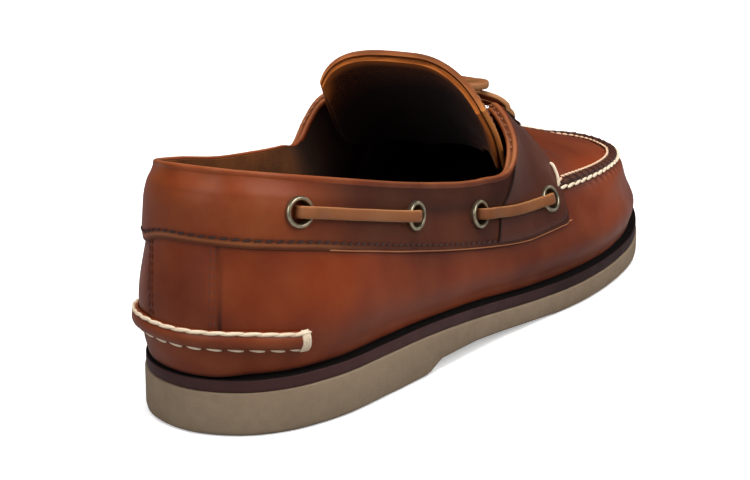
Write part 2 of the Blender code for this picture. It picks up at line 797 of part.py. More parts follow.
def lace_from_tie(row, side, stops):
    """Path and widths of a lace that leaves a tie eyelet inwards, over the flap's rim."""
    turn = np.array([turn_at(row.along, side)])
    centre = last_point(turn, row.climb)[0]
    normal = last_normal(turn, row.climb)[0]
    sign = -1 if side == 0 else 1
    first = np.array([AXIS_X + sign * stops[0].x, AXIS_Y + stops[0].y, stops[0].up])
    heading = first - centre
    heading -= normal * heading.dot(normal)
    heading /= np.linalg.norm(heading)
    lift = eyelet_lift(row, side)
    path = [centre + heading * rise.along + normal * (rise.up + lift) for rise in LACE_OUT_OF_TIE]
    path += [np.array([AXIS_X + sign * stop.x, AXIS_Y + stop.y, stop.up]) for stop in stops]
    width = np.cross(normal, heading) * (1 if side == 0 else -1)
    settle = np.linspace(0, 1, len(path))[:, None]
    widths = width * (1 - settle) + np.array(LACE_LEAN) * np.sign(width[1]) * settle
    return np.array(path), widths


def smooth_path(points, widths, spacing=3.4):
    """Extra places along a path so that it bends softly."""
    run = np.concatenate([[0.0], np.cumsum(np.linalg.norm(np.diff(points, axis=0), axis=1))])
    places = [run[0]]
    for start, end in zip(run, run[1:]):
        count = max(1, int(round((end - start) / spacing)))
        places += list(np.linspace(start, end, count + 1)[1:])
    return curve_through(run, points, places), curve_through(run, widths, places)


def make_crossing(material, collection):
    row = TIE_EYELETS[1]
    lateral, lateral_w = lace_from_tie(row, 0, CROSSING_MIDDLE)
    medial, medial_w = lace_from_tie(row, 1, CROSSING_MIDDLE)
    points = np.vstack([lateral, medial[::-1][1:]])
    widths = np.vstack([lateral_w, medial_w[::-1][1:]])
    return make_strap("lace_crossing", *smooth_path(points, widths), material, collection)


def make_tie_bar(name, side, material, collection):
    path, widths = lace_from_tie(TIE_EYELETS[0], side, TIE_BAR_MIDDLE)
    return make_strap(name, *smooth_path(path, widths), material, collection)


CORD_PATHS = {
    "lace_loop_lateral": (
        (-6.6, -14.2, 80.8),
        (-11.0, -15.4, 80.4),
        (-16.4, -14.9, 80.3),
        (-21.0, -12.2, 80.9),
        (-23.4, -7.8, 81.3),
        (-21.4, -3.6, 81.2),
        (-16.6, -2.0, 81.4),
        (-11.6, -2.8, 82.8),
        (-7.2, -5.4, 84.2),
    ),
    "lace_loop_medial": (
        (5.9, -13.8, 80.8),
        (12.0, -15.2, 80.2),
        (19.0, -13.8, 79.6),
        (24.6, -10.8, 80.6),
        (27.6, -6.2, 82.0),
        (25.2, -2.0, 82.6),
        (19.0, -0.8, 82.8),
        (12.4, -2.2, 83.3),
        (6.8, -5.4, 84.2),
    ),
    "lace_end_lateral": (
        (-1.5, -16.2, 78.4),
        (-4.8, -21.8, 76.0),
        (-7.2, -27.6, 71.4),
        (-8.0, -33.4, 66.4),
        (-7.8, -39.4, 62.2),
        (-7.0, -45.6, 58.8),
        (-6.0, -51.6, 56.2),
    ),
    "lace_end_medial": (
        (3.2, -16.3, 78.4),
        (7.8, -21.4, 76.9),
        (14.0, -27.4, 71.6),
        (19.6, -32.4, 66.6),
        (24.6, -37.2, 62.0),
        (28.8, -42.4, 58.4),
        (32.0, -48.0, 55.6),
    ),
}
KNOT_MIDDLE = (0.0, -10.4, 80.5)
KNOT_RADIUS = 3.7
KNOT_PITCH = 4.4
KNOT_TURNS = 1.75


def make_cord(name, points, material, collection):
    """A round cord along the points, its ends filled, turned into a closed mesh."""
    data = bpy.data.curves.new(name + "_path", "CURVE")
    data.dimensions = "3D"
    data.bevel_depth = CORD_WIDE / 2
    data.bevel_resolution = 2
    data.use_fill_caps = True
    spline = data.splines.new("POLY")
    spline.points.add(len(points) - 1)
    for spot, point in zip(spline.points, points):
        spot.co = (*point, 1.0)
    guide = bpy.data.objects.new(name + "_guide", data)
    collection.objects.link(guide)
    mesh = bpy.data.meshes.new_from_object(guide)
    bm = bmesh.new()
    bm.from_mesh(mesh)
    bpy.data.meshes.remove(mesh)
    bpy.data.objects.remove(guide, do_unlink=True)
    bpy.data.curves.remove(data)
    return add_body(name, bm, material, collection)


def cord_path(knots, spacing=5.0):
    """Evenly spaced places on a smooth line through the knots."""
    knots = np.array(knots) + (AXIS_X, AXIS_Y, 0.0)
    run = np.concatenate([[0.0], np.cumsum(np.linalg.norm(np.diff(knots, axis=0), axis=1))])
    return curve_through(run, knots, np.linspace(0, run[-1], int(run[-1] / spacing) + 1))


def knot_path():
    """A short coil round the loops' meeting place."""
    x, y, z = KNOT_MIDDLE
    turns = np.linspace(-KNOT_TURNS / 2, KNOT_TURNS / 2, int(KNOT_TURNS * 7) + 1)
    angle = turns * 2 * math.pi
    return np.column_stack([
        AXIS_X + x + turns * KNOT_PITCH,
        AXIS_Y + y + KNOT_RADIUS * np.sin(angle),
        z + KNOT_RADIUS * np.cos(angle),
    ])


# ---------------------------------------------------------------- build
def build():
    clear_scene()
    shoe = bpy.data.collections.new("boat_shoe_right")
    bpy.context.scene.collection.children.link(shoe)
    leather = make_material("oiled_leather", (0.26, 0.085, 0.035), 0.5)
    band_leather = make_material("band_leather", (0.20, 0.075, 0.038), 0.45)
    sole_rubber = make_material("khaki_rubber", (0.27, 0.20, 0.125), 0.8)
    midsole_board = make_material("midsole_brown", (0.07, 0.03, 0.022), 0.6)
    lining = make_material("suede_lining", (0.16, 0.075, 0.033), 0.85)
    brass = make_material("antique_brass", (0.45, 0.38, 0.25), 0.35, 0.9)
    lace = make_material("rawhide_lace", (0.33, 0.14, 0.05), 0.55)

    make_slab("outsole", outsole_bottom, outsole_top, 0.0, SOLE_ROUND, sole_rubber, shoe)
    make_slab("midsole", midsole_bottom, midsole_top, 0.4, SOLE_ROUND, midsole_board, shoe)
    make_slab("insole", insole_bottom, insole_top, INSOLE_IN, SOLE_ROUND, lining, shoe)
    make_upper(leather, shoe)
    make_band(band_leather, shoe)
    make_moc_ridge(leather, shoe)
    make_heel_kicker(band_leather, shoe)
    make_tongue(leather, shoe)
    for side, side_name in enumerate(SIDE_NAMES):
        rows = EYELETS[side]
        for row in rows:
            make_eyelet(f"eyelet_{side_name}_{row.name}", row, side, brass, shoe)
        for row in TIE_EYELETS:
            make_eyelet(f"tie_eyelet_{side_name}_{row.name}", row, side, brass, shoe)
        make_lace_bar(f"lace_bar_{side_name}_rear", rows[0], rows[1], side, lace, shoe)
        make_lace_bar(f"lace_bar_{side_name}_front", rows[2], rows[3], side, lace, shoe)
        make_tie_bar(f"lace_tie_{side_name}", side, lace, shoe)
    make_crossing(lace, shoe)
    make_cord("lace_knot", knot_path(), lace, shoe)
    for name, knots in CORD_PATHS.items():
        make_cord(name, cord_path(knots), lace, shoe)


build()
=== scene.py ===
"""Finish and fine detail of a hand-sewn leather boat shoe for the right foot.

The toe points to -Y, the outer (lateral) side is -X. Sizes inside the classes are
millimetres; meshes are written in metres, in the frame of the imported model.
"""

from __future__ import annotations

import logging
import math
from dataclasses import dataclass, field
from enum import Enum
from typing import Callable, NamedTuple, Sequence

import bmesh
import bpy
import numpy as np
from mathutils import Matrix, Vector


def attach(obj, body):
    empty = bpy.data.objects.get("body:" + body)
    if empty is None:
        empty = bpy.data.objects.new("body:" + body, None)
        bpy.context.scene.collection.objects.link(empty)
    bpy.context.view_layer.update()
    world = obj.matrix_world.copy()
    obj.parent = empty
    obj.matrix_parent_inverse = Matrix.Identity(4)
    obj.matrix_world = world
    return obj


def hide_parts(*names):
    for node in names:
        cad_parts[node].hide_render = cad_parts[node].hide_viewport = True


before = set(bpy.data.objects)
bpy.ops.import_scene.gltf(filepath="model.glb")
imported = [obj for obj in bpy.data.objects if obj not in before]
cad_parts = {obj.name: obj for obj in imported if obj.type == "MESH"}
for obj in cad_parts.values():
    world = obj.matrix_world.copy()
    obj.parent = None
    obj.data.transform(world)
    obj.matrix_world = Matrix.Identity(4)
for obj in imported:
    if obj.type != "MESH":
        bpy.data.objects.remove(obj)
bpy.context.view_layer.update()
LOG = logging.getLogger("boat_shoe")
MM = 0.001
GAP = 0.3
Array = np.ndarray
BMesh = bmesh.types.BMesh
Socket = bpy.types.NodeSocket
Tree = bpy.types.NodeTree
Curve = Callable[[Array], Array]
Place = Callable[[Array, Array], Array]


class Spot(NamedTuple):
    """Places on a strip: turn, climb, share across, and 1 to -1 from front to back."""

    turn: Array
    climb: Array
    share: Array
    face: Array


Marks = dict[str, Callable[[Spot], Array]]


class Side(Enum):
    """The two sides of the foot."""

    LATERAL = 0
    MEDIAL = 1

    @property
    def sign(self) -> int:
        """The side's direction along X."""
        return -1 if self is Side.LATERAL else 1

    @property
    def word(self) -> str:
        """The side's name in the names of pieces."""
        return self.name.lower()


# ---- small mathematics
def slopes_of(step: Array, rows: Array) -> Array:
    """Slopes of a smooth curve at its rows, which lie step apart."""
    shape = (-1,) + (1,) * (rows.ndim - 1)
    slope = np.diff(rows, axis=0) / step.reshape(shape)
    weight = (step[1:] / (step[1:] + step[:-1])).reshape(shape)
    return np.concatenate([slope[:1], slope[:-1] * weight + slope[1:] * (1 - weight), slope[-1:]])


def cubic(ends: tuple[Array, Array], slopes: tuple[Array, Array], step: Array, t: Array) -> Array:
    """Run a cubic between two ends, at shares t of the step between them."""
    return (
        ends[0] * (2 * t**3 - 3 * t**2 + 1)
        + slopes[0] * step * (t**3 - 2 * t**2 + t)
        + ends[1] * (3 * t**2 - 2 * t**3)
        + slopes[1] * step * (t**3 - t**2)
    )


def curve_through(xs: Sequence, ys: Sequence, x: Sequence, closed: float | None = None) -> Array:
    """Read a smooth cubic through the points (xs, ys) at x.

    Args:
        xs: Rising places of the points.
        ys: One row of values for each place.
        x: Where to read the curve.
        closed: The period, for a curve that meets itself.

    Returns:
        One row of values for each x.
    """
    xs = np.asarray(xs, float)
    ys = np.asarray(ys, float).reshape(len(xs), -1)
    x = np.atleast_1d(np.asarray(x, float))
    if closed:
        x = np.mod(x - xs[0], closed) + xs[0]
        xs = np.concatenate([xs[-2:] - closed, xs, xs[:2] + closed])
        ys = np.concatenate([ys[-2:], ys, ys[:2]])
    step = np.diff(xs)
    slopes = slopes_of(step, ys)
    i = np.clip(np.searchsorted(xs, x, side="right") - 1, 0, len(step) - 1)
    t = ((x - xs[i]) / step[i])[:, None]
    return cubic((ys[i], ys[i + 1]), (slopes[i], slopes[i + 1]), step[i][:, None], t)


def smooth_step(start: float, end: float, x: Array) -> Array:
    """Rise smoothly from 0 at start to 1 at end."""
    t = np.clip((np.asarray(x, float) - start) / (end - start), 0.0, 1.0)
    return t * t * (3 - 2 * t)


def runs(points: Array) -> Array:
    """Measure the distance walked at each point of a path."""
    return np.concatenate([[0.0], np.cumsum(np.linalg.norm(np.diff(points, axis=0), axis=1))])


def unit(vectors: Array) -> Array:
    """Scale each row to length one."""
    return vectors / np.maximum(np.linalg.norm(vectors, axis=1), 1e-9)[:, None]


def read_rows(at: Array, run: Array, rows: Array) -> Array:
    """Read rows of three numbers, which lie at run, at other places."""
    return np.column_stack([np.interp(at, run, rows[:, axis]) for axis in range(3)])


def table(kind: type, *rows: Sequence[float]) -> tuple:
    """Give each row of sizes the columns that its class names."""
    return tuple(kind(*row) for row in rows)


def sizes(rows: Sequence) -> Array:
    """All sizes of a table, one line for each row."""
    return np.array([tuple(vars(row).values()) for row in rows], float)


# ---- the last
@dataclass(frozen=True)
class EdgeRow:
    """Half widths of the sole at a share of its length."""

    along: float
    lateral: float
    medial: float


@dataclass(frozen=True)
class WallRow:
    """Insets from the sole's edge and heights of the upper's wall."""

    along: float
    foot_in: float
    belly_in: float
    belly_up: float
    edge_in: float
    edge_up: float
    line_in: float
    line_up: float
    swell_low: float
    swell_high: float


@dataclass(frozen=True)
class RimRow:
    """A place on the rim of the foot opening, on each side."""

    along: float
    lat_x: float
    lat_y: float
    lat_up: float
    med_x: float
    med_y: float
    med_up: float


@dataclass
class Last:
    """The form that sole and upper are drawn on.

    A place on the upper is a turn, once round the foot from the back of the heel by
    the outer side, and a climb, from the feather edge at 0 to the rim at 1.
    """

    length: float = 298.0
    heel_y: float = 149.0
    axis_x: float = 1.45
    axis_y: float = -1.783
    heel_rubber: float = 13.0
    fore_rubber: float = 6.8
    wedge: tuple[float, float] = (0.22, 0.56)
    midsole_thick: float = 5.8
    toe_spring: float = 8.0
    spring_start: float = 0.74
    arch: tuple[float, float, float, float] = (0.265, 0.30, 0.37, 0.54)
    arch_rise: float = 3.2
    knots: tuple[float, ...] = (0.0, 0.14, 0.36, 0.55, 0.70, 0.85, 1.0)
    outline: tuple[EdgeRow, ...] = table(
        EdgeRow,
        (0.00, 1.4, -1.4),
        (0.02, 19.5, 16.5),
        (0.05, 27.9, 24.9),
        (0.10, 34.8, 31.6),
        (0.20, 40.1, 36.2),
        (0.30, 43.4, 37.6),
        (0.40, 46.6, 37.4),
        (0.50, 51.4, 38.9),
        (0.60, 56.2, 43.6),
        (0.70, 56.3, 50.8),
        (0.80, 51.4, 54.6),
        (0.90, 37.2, 49.8),
        (0.96, 20.8, 38.8),
        (0.99, 5.0, 25.5),
        (1.00, -9.0, 9.0),
    )
    walls: tuple[WallRow, ...] = table(
        WallRow,
        (0.00, 3.6, -1.4, 33.0, 1.9, 59.5, 2.8, 71.0, 0.3, 0.0),
        (0.07, 3.6, -1.2, 32.0, 1.9, 56.0, 3.2, 67.2, 0.3, 0.0),
        (0.23, 3.6, -0.8, 29.0, 2.3, 45.2, 4.4, 55.5, 0.4, 0.2),
        (0.36, 3.6, -0.6, 25.0, 2.5, 37.6, 4.9, 48.0, 0.4, 0.2),
        (0.46, 3.6, -0.6, 22.0, 2.4, 33.2, 5.2, 44.0, 0.8, 0.8),
        (0.55, 3.6, -0.6, 21.0, 2.2, 32.4, 6.6, 44.0, 1.6, 1.6),
        (0.62, 3.6, -0.7, 20.5, 2.2, 31.5, 7.6, 42.9, 1.6, 1.4),
        (0.70, 3.6, -0.6, 20.5, 2.6, 30.5, 8.0, 41.4, 0.0, -1.6),
        (0.80, 3.9, 1.0, 21.5, 5.0, 30.0, 9.6, 39.6, -0.3, -2.4),
        (0.90, 4.6, 2.7, 22.5, 7.8, 29.8, 14.6, 38.4, -0.4, -2.8),
        (1.00, 5.2, 3.9, 24.0, 11.0, 30.2, 26.5, 37.2, -0.4, -2.8),
    )
    rims: tuple[RimRow, ...] = table(
        RimRow,
        (0.000, -1.4, 142.9, 82.0, -1.4, 142.9, 82.0),
        (0.030, -14.5, 140.0, 81.6, 11.5, 140.0, 81.2),
        (0.080, -27.0, 125.0, 78.2, 24.2, 125.5, 77.3),
        (0.150, -32.6, 103.6, 72.9, 29.6, 104.0, 72.7),
        (0.230, -36.0, 80.5, 67.1, 32.0, 80.5, 67.4),
        (0.320, -38.8, 54.0, 61.2, 33.6, 54.0, 63.4),
        (0.400, -41.5, 30.0, 57.4, 34.6, 35.0, 61.2),
        (0.455, -43.8, 14.0, 58.0, 36.0, 22.0, 60.2),
        (0.490, -41.0, 5.5, 64.8, 35.8, 14.5, 67.0),
        (0.520, -36.2, 1.5, 71.0, 32.6, 10.5, 73.4),
        (0.550, -30.0, -3.0, 74.6, 26.5, 4.0, 77.2),
        (0.590, -23.5, -12.0, 71.2, 20.5, -7.0, 73.0),
        (0.640, -20.0, -25.0, 64.2, 17.5, -22.5, 65.6),
        (0.720, -13.0, -31.5, 61.2, 11.0, -30.5, 61.8),
        (1.000, -1.0, -33.0, 61.0, -1.0, -33.0, 61.0),
    )
    band_climb: float = 0.36
    line_climb: float = 0.55
    spine: tuple[float, float] = (-98.4, 107.6)
    near: float = 0.002
    sides: list = field(init=False)
    side_runs: list = field(init=False)
    sections: Array = field(init=False)

    def __post_init__(self) -> None:
        """Trace the outline and tabulate the sections."""
        lateral = [(-row.lateral, self.heel_y - row.along * self.length) for row in self.outline]
        medial = [(row.medial, self.heel_y - row.along * self.length) for row in self.outline]
        loop = np.array(lateral + medial[-2:0:-1]) + (self.axis_x, self.axis_y)
        chord = np.hypot(*np.diff(np.vstack([loop, loop[:1]]), axis=0).T)
        knots = np.concatenate([[0.0], np.cumsum(chord)[:-1]])
        dense = curve_through(knots, loop, np.linspace(0, chord.sum(), 2000, endpoint=False), chord.sum())
        dense = np.roll(dense, -int(dense[:, 1].argmax()), axis=0)
        tip = int(dense[:, 1].argmin())
        self.sides = [dense[: tip + 1], np.vstack([dense[tip:], dense[:1]])[::-1]]
        self.side_runs = [runs(side) for side in self.sides]
        stations = sorted({row.along for row in self.walls} | {row.along for row in self.rims})
        walls, rims = (
            curve_through(rows[:, 0], rows[:, 1:], stations)
            for rows in (sizes(self.walls), sizes(self.rims))
        )
        sections = []
        for side in (0, 1):
            for along, wall, rim in zip(stations, walls, rims):
                if side and along in (0.0, 1.0):
                    continue
                place = rim[3 * side : 3 * side + 3] + (self.axis_x, self.axis_y, 0.0)
                sections.append((self.turn_at(along, Side(side)), *wall, *place))
        self.sections = np.array(sorted(sections))

    def turn_at(self, along: float, side: Side) -> float:
        """Find the turn at which one side has come a share of the length."""
        edge, run = self.sides[side.value], self.side_runs[side.value]
        here = np.interp(along, (edge[0, 1] - edge[:, 1]) / self.length, run) / run[-1] / 2
        return float(here if side is Side.LATERAL else 1 - here)

    def turns_at(self, alongs: Sequence[float], side: Side) -> Array:
        """Turns at several shares of the length."""
        return np.array([self.turn_at(float(along), side) for along in alongs])

    def along_at(self, turn: Array) -> Array:
        """Share of the length at a turn."""
        return self.along_of(self.edge_point(turn)[:, 1])

    def along_of(self, y: Array) -> Array:
        """Share of the length at a place on the Y axis."""
        return (self.sides[0][0, 1] - np.asarray(y, float)) / self.length

    def edge_point(self, turn: Array) -> Array:
        """Places on the sole's edge, in plan."""
        turn = np.mod(np.atleast_1d(turn), 1.0)
        points = np.empty((len(turn), 2))
        for index, (edge, run) in enumerate(zip(self.sides, self.side_runs)):
            mine = (turn <= 0.5) if index == 0 else (turn > 0.5)
            part = turn[mine] * 2 if index == 0 else 2 - turn[mine] * 2
            for axis in (0, 1):
                points[mine, axis] = np.interp(part * run[-1], run, edge[:, axis])
        return points

    def inset(self, turn: Array, distance: Array) -> Array:
        """Places in plan that lie inwards of the sole's edge."""
        edge = self.edge_point(turn)
        y = np.clip(edge[:, 1], self.axis_y + self.spine[0], self.axis_y + self.spine[1])
        lateral, medial = (np.interp(-y, -side[:, 1], side[:, 0]) for side in self.sides)
        inwards = unit(np.column_stack([(lateral + medial) / 2, y]) - edge)
        return edge + inwards * np.broadcast_to(np.asarray(distance, float), len(edge))[:, None]

    def toe_lift(self, y: Array) -> Array:
        """How far the toe spring lifts the sole."""
        share = np.clip((self.along_of(y) - self.spring_start) / (1 - self.spring_start), 0, 1)
        return self.toe_spring * share**1.8

    def tread(self, y: Array) -> Array:
        """Height of the underside."""
        s = self.along_of(y)
        start, full, fall, end = self.arch
        arch = smooth_step(start, full, s) * (1 - np.clip((s - fall) / (end - fall), 0, 1))
        return self.toe_lift(y) + self.arch_rise * arch

    def outsole_top(self, y: Array) -> Array:
        """Height of the joint between the two soles."""
        wedge = smooth_step(*self.wedge, self.along_of(y))
        return self.toe_lift(y) + self.heel_rubber + (self.fore_rubber - self.heel_rubber) * wedge

    def midsole_top(self, y: Array) -> Array:
        """Height at which the upper sits."""
        return self.outsole_top(y) + GAP + self.midsole_thick

    def point(self, turn: Array, climb: Array) -> Array:
        """Places on the upper's outer surface."""
        turn = np.atleast_1d(np.asarray(turn, float))
        climb = np.clip(np.broadcast_to(np.asarray(climb, float), turn.shape), 0.0, 1.0)
        row = curve_through(self.sections[:, 0], self.sections[:, 1:], turn, closed=1.0)
        foot_in, belly_in, belly_up, edge_in, edge_up, line_in, line_up, low, high = row[:, :9].T
        rim = row[:, 9:12]
        foot = self.inset(turn, foot_in)
        foot = np.column_stack([foot, self.midsole_top(foot[:, 1]) + GAP])
        line = np.column_stack([self.inset(turn, line_in), line_up])
        up = np.array((0.0, 0.0, 1.0))
        rows = np.stack([
            foot,
            np.column_stack([self.inset(turn, belly_in), belly_up]),
            np.column_stack([self.inset(turn, edge_in), edge_up]),
            line,
            line + (rim - line) / 3 + low[:, None] * up,
            line + (rim - line) * 2 / 3 + high[:, None] * up,
            rim,
        ])
        knots = np.array(self.knots)
        step = np.diff(knots)
        slopes = slopes_of(step, rows)
        i = np.clip(np.searchsorted(knots, climb, side="right") - 1, 0, len(step) - 1)
        n = np.arange(len(turn))
        t = ((climb - knots[i]) / step[i])[:, None]
        return cubic((rows[i, n], rows[i + 1, n]), (slopes[i, n], slopes[i + 1, n]), step[i][:, None], t)

    def normal(self, turn: Array, climb: Array) -> Array:
        """Outward directions of the upper's surface."""
        turn = np.atleast_1d(np.asarray(turn, float))
        climb = np.broadcast_to(np.asarray(climb, float), turn.shape)
        above, below = np.clip(climb + self.near, 0, 1), np.clip(climb - self.near, 0, 1)
        across = self.point(turn + self.near, climb) - self.point(turn - self.near, climb)
        return unit(np.cross(across, self.point(turn, above) - self.point(turn, below)))

    def skin(self, turn: Array, climb: Array, proud: Array = 0.0) -> Array:
        """Places on the surface, moved outwards by proud."""
        lift = np.broadcast_to(np.asarray(proud, float), np.shape(np.atleast_1d(turn)))
        return self.point(turn, climb) + self.normal(turn, climb) * lift[:, None]

    def line(self, turn: Array, climb: Array, proud: Array) -> tuple[Array, Array]:
        """Places along a line on the surface, moved outwards, with their outward directions."""
        return self.skin(turn, climb, proud), self.normal(turn, climb)

    def climb_step(self, turn: Array, climb: Array, distance: Array) -> Array:
        """How much climb covers a distance up the surface."""
        reach = self.point(turn, np.asarray(climb) + 0.02) - self.point(turn, np.asarray(climb) - 0.02)
        return np.asarray(distance, float) / (np.linalg.norm(reach, axis=1) / 0.04)

    def climb_at_height(self, turn: float, height: float) -> float:
        """The climb on the wall at which the surface reaches a height."""
        climbs = np.linspace(0.05, 0.5, 60)
        return float(np.interp(height, self.point(np.full(60, turn), climbs)[:, 2], climbs))


LAST = Last()


# ---- finishes
def tone(code: str) -> tuple[float, float, float, float]:
    """Turn a web colour into the linear colour that a shader takes."""
    parts = [int(code[i : i + 2], 16) / 255 for i in (1, 3, 5)]
    linear = [part / 12.92 if part <= 0.04045 else ((part + 0.055) / 1.055) ** 2.4 for part in parts]
    return (*linear, 1.0)


class Graph:
    """A node tree with short calls for adding and joining nodes."""

    def __init__(self, tree: Tree) -> None:
        """Keep the tree that nodes are added to."""
        self.tree = tree

    def feed(self, socket: Socket, value: object) -> None:
        """Link a socket, or set its plain value."""
        if isinstance(value, Socket):
            self.tree.links.new(value, socket)
        else:
            socket.default_value = value

    def add(self, kind: str, inputs: dict | None = None, **settings: object) -> bpy.types.Node:
        """Add a node.

        Args:
            kind: The node's type.
            inputs: Values or sockets for its inputs, by name or number.
            settings: Other properties of the node.

        Returns:
            The new node.
        """
        node = self.tree.nodes.new(kind)
        for key, value in settings.items():
            setattr(node, key, value)
        for key, value in (inputs or {}).items():
            self.feed(node.inputs[key], value)
        return node

    def math(self, operation: str, *values: object) -> Socket:
        """Join numbers with one operation."""
        node = self.add("ShaderNodeMath", dict(enumerate(values)), operation=operation)
        return node.outputs[0]

    def mix(self, factor: object, first: object, second: object) -> Socket:
        """Blend two colours."""
        node = self.add("ShaderNodeMix", {0: factor, 6: first, 7: second}, data_type="RGBA")
        return node.outputs[2]

    def tint(self, color: object, mask: Socket, amount: float, toward: object) -> Socket:
        """Blend a colour towards another, by an amount, where a mask says so."""
        return self.mix(self.math("MULTIPLY", mask, amount), color, toward)

    def where(self) -> Socket:
        """Read the place on the piece as it was modelled."""
        return self.add("ShaderNodeTexCoord").outputs["Object"]

    def cloud(self, where: Socket, scale: object, detail: float, low: float, high: float) -> Socket:
        """Read a cloudy noise with its range from low to high stretched over 0 to 1."""
        return self.spread(self.noise(where, scale, detail), low, high)

    def bump(self, shader: bpy.types.Node, height: Socket, strength: float, distance: float) -> None:
        """Give a shader a bump, its distance in metres."""
        inputs = {"Height": height, "Strength": strength, "Distance": distance}
        self.feed(shader.inputs["Normal"], self.add("ShaderNodeBump", inputs).outputs[0])

    def fill(self, shader: bpy.types.Node, values: dict[str, object]) -> None:
        """Feed a shader's sockets by name."""
        for name, value in values.items():
            self.feed(shader.inputs[name], value)

    def noise(self, vector: object, scale: object, detail: float = 3.0) -> Socket:
        """Read a cloudy noise between 0 and 1."""
        inputs = {"Vector": vector, "Scale": scale, "Detail": detail}
        return self.add("ShaderNodeTexNoise", inputs).outputs[0]

    def spread(self, value: object, low: float, high: float) -> Socket:
        """Stretch the range from low to high over 0 to 1."""
        inputs = {"Value": value, "From Min": low, "From Max": high}
        return self.add("ShaderNodeMapRange", inputs, clamp=True).outputs[0]

    def mark(self, name: str) -> Socket:
        """Read a number that the mesh carries at each vertex."""
        return self.add("ShaderNodeAttribute", attribute_name=name).outputs["Fac"]


def new_group(name: str, inputs: dict[str, object], outputs: dict[str, str]) -> tuple:
    """Start a shader group.

    Args:
        name: The group's name.
        inputs: Default value of each input; a number or a colour.
        outputs: Socket type of each output.

    Returns:
        The group, its graph, the input node and the output node.
    """
    group = bpy.data.node_groups.new(name, "ShaderNodeTree")
    for key, value in inputs.items():
        kind = "NodeSocketFloat" if isinstance(value, (int, float)) else "NodeSocketColor"
        group.interface.new_socket(key, in_out="INPUT", socket_type=kind).default_value = value
    for key, kind in outputs.items():
        group.interface.new_socket(key, in_out="OUTPUT", socket_type=kind)
    graph = Graph(group)
    return group, graph, graph.add("NodeGroupInput"), graph.add("NodeGroupOutput")


WHITE = (1.0, 1.0, 1.0, 1.0)
LEATHER_SHADE = (0.006, 0.002, 0.0012, 1.0)
SUEDE_SHADE = (0.004, 0.002, 0.0012, 1.0)
RUBBER_SHADE = (0.004, 0.002, 0.002, 1.0)


def build_grain_group() -> Tree:
    """Pebbled hide: small cells with pores, over slow wrinkles.

    Returns:
        A group that puts out a height between 0 and 1.
    """
    inputs, outputs = {"Cells": 900.0, "Wrinkle": 0.5}, {"Height": "NodeSocketFloat"}
    group, graph, given, out = new_group("hide_grain", inputs, outputs)
    where = graph.where()
    settings = {"Vector": where, "Scale": given.outputs["Cells"]}
    cells = graph.add("ShaderNodeTexVoronoi", settings, feature="F1")
    pores = graph.spread(cells.outputs["Distance"], 0.1, 0.75)
    fine = graph.noise(where, 2600.0, 2.0)
    folds = graph.noise(where, 130.0, 4.0)
    height = graph.math("MULTIPLY_ADD", pores, -0.45, 0.6)
    height = graph.math("MULTIPLY_ADD", fine, 0.25, height)
    height = graph.math("MULTIPLY_ADD", folds, given.outputs["Wrinkle"], height)
    graph.feed(out.inputs[0], height)
    return group


def build_pull_up_group() -> Tree:
    """Oiled hide whose colour shifts in soft clouds, lighter where a painted highlight is marked and darker
    where painted shade is marked.

    Returns:
        A group that puts out the colour and a cloud mask.
    """
    inputs = {"Base": WHITE, "Deep": WHITE, "Light": WHITE, "Raw": WHITE, "Patch": 16.0}
    outputs = {"Color": "NodeSocketColor", "Cloud": "NodeSocketFloat"}
    group, graph, given, out = new_group("pull_up", inputs, outputs)
    where = graph.where()
    slow = graph.cloud(where, given.outputs["Patch"], 2.0, 0.38, 0.66)
    quick = graph.cloud(where, 75.0, 4.0, 0.35, 0.75)
    streak = graph.cloud(where, 420.0, 3.0, 0.4, 0.8)
    color = graph.mix(slow, given.outputs["Deep"], given.outputs["Base"])
    color = graph.tint(color, quick, 0.25, given.outputs["Light"])
    color = graph.tint(color, streak, 0.10, given.outputs["Deep"])
    # painted highlight: lighter where the mark paints a highlight
    worn = graph.math("MULTIPLY", graph.mark("worn"), graph.math("MULTIPLY_ADD", quick, 0.4, 0.7))
    color = graph.mix(worn, color, given.outputs["Light"])
    color = graph.mix(graph.mark("raw"), color, given.outputs["Raw"])
    color = graph.tint(color, graph.mark("dark"), 0.92, LEATHER_SHADE)
    graph.feed(out.inputs[0], color)
    graph.feed(out.inputs[1], slow)
    return group


class Finish:
    """A material that is built once, when a piece first asks for it."""

    made: dict[str, bpy.types.Material] = {}

    def material(self) -> bpy.types.Material:
        """The Blender material of this finish."""
        if self.name not in Finish.made:
            item = bpy.data.materials.new(self.name)
            item.use_nodes = True
            graph = Graph(item.node_tree)
            shader = item.node_tree.nodes["Principled BSDF"]
            self.dress(graph, shader)
            item.diffuse_color = tone(self.base)
            Finish.made[self.name] = item
        return Finish.made[self.name]

    def group(self, graph: Graph, maker: Callable[[], Tree], name: str, inputs: dict) -> bpy.types.Node:
        """Place a shared shader group, which is built the first time."""
        return graph.add("ShaderNodeGroup", inputs, node_tree=bpy.data.node_groups.get(name) or maker())


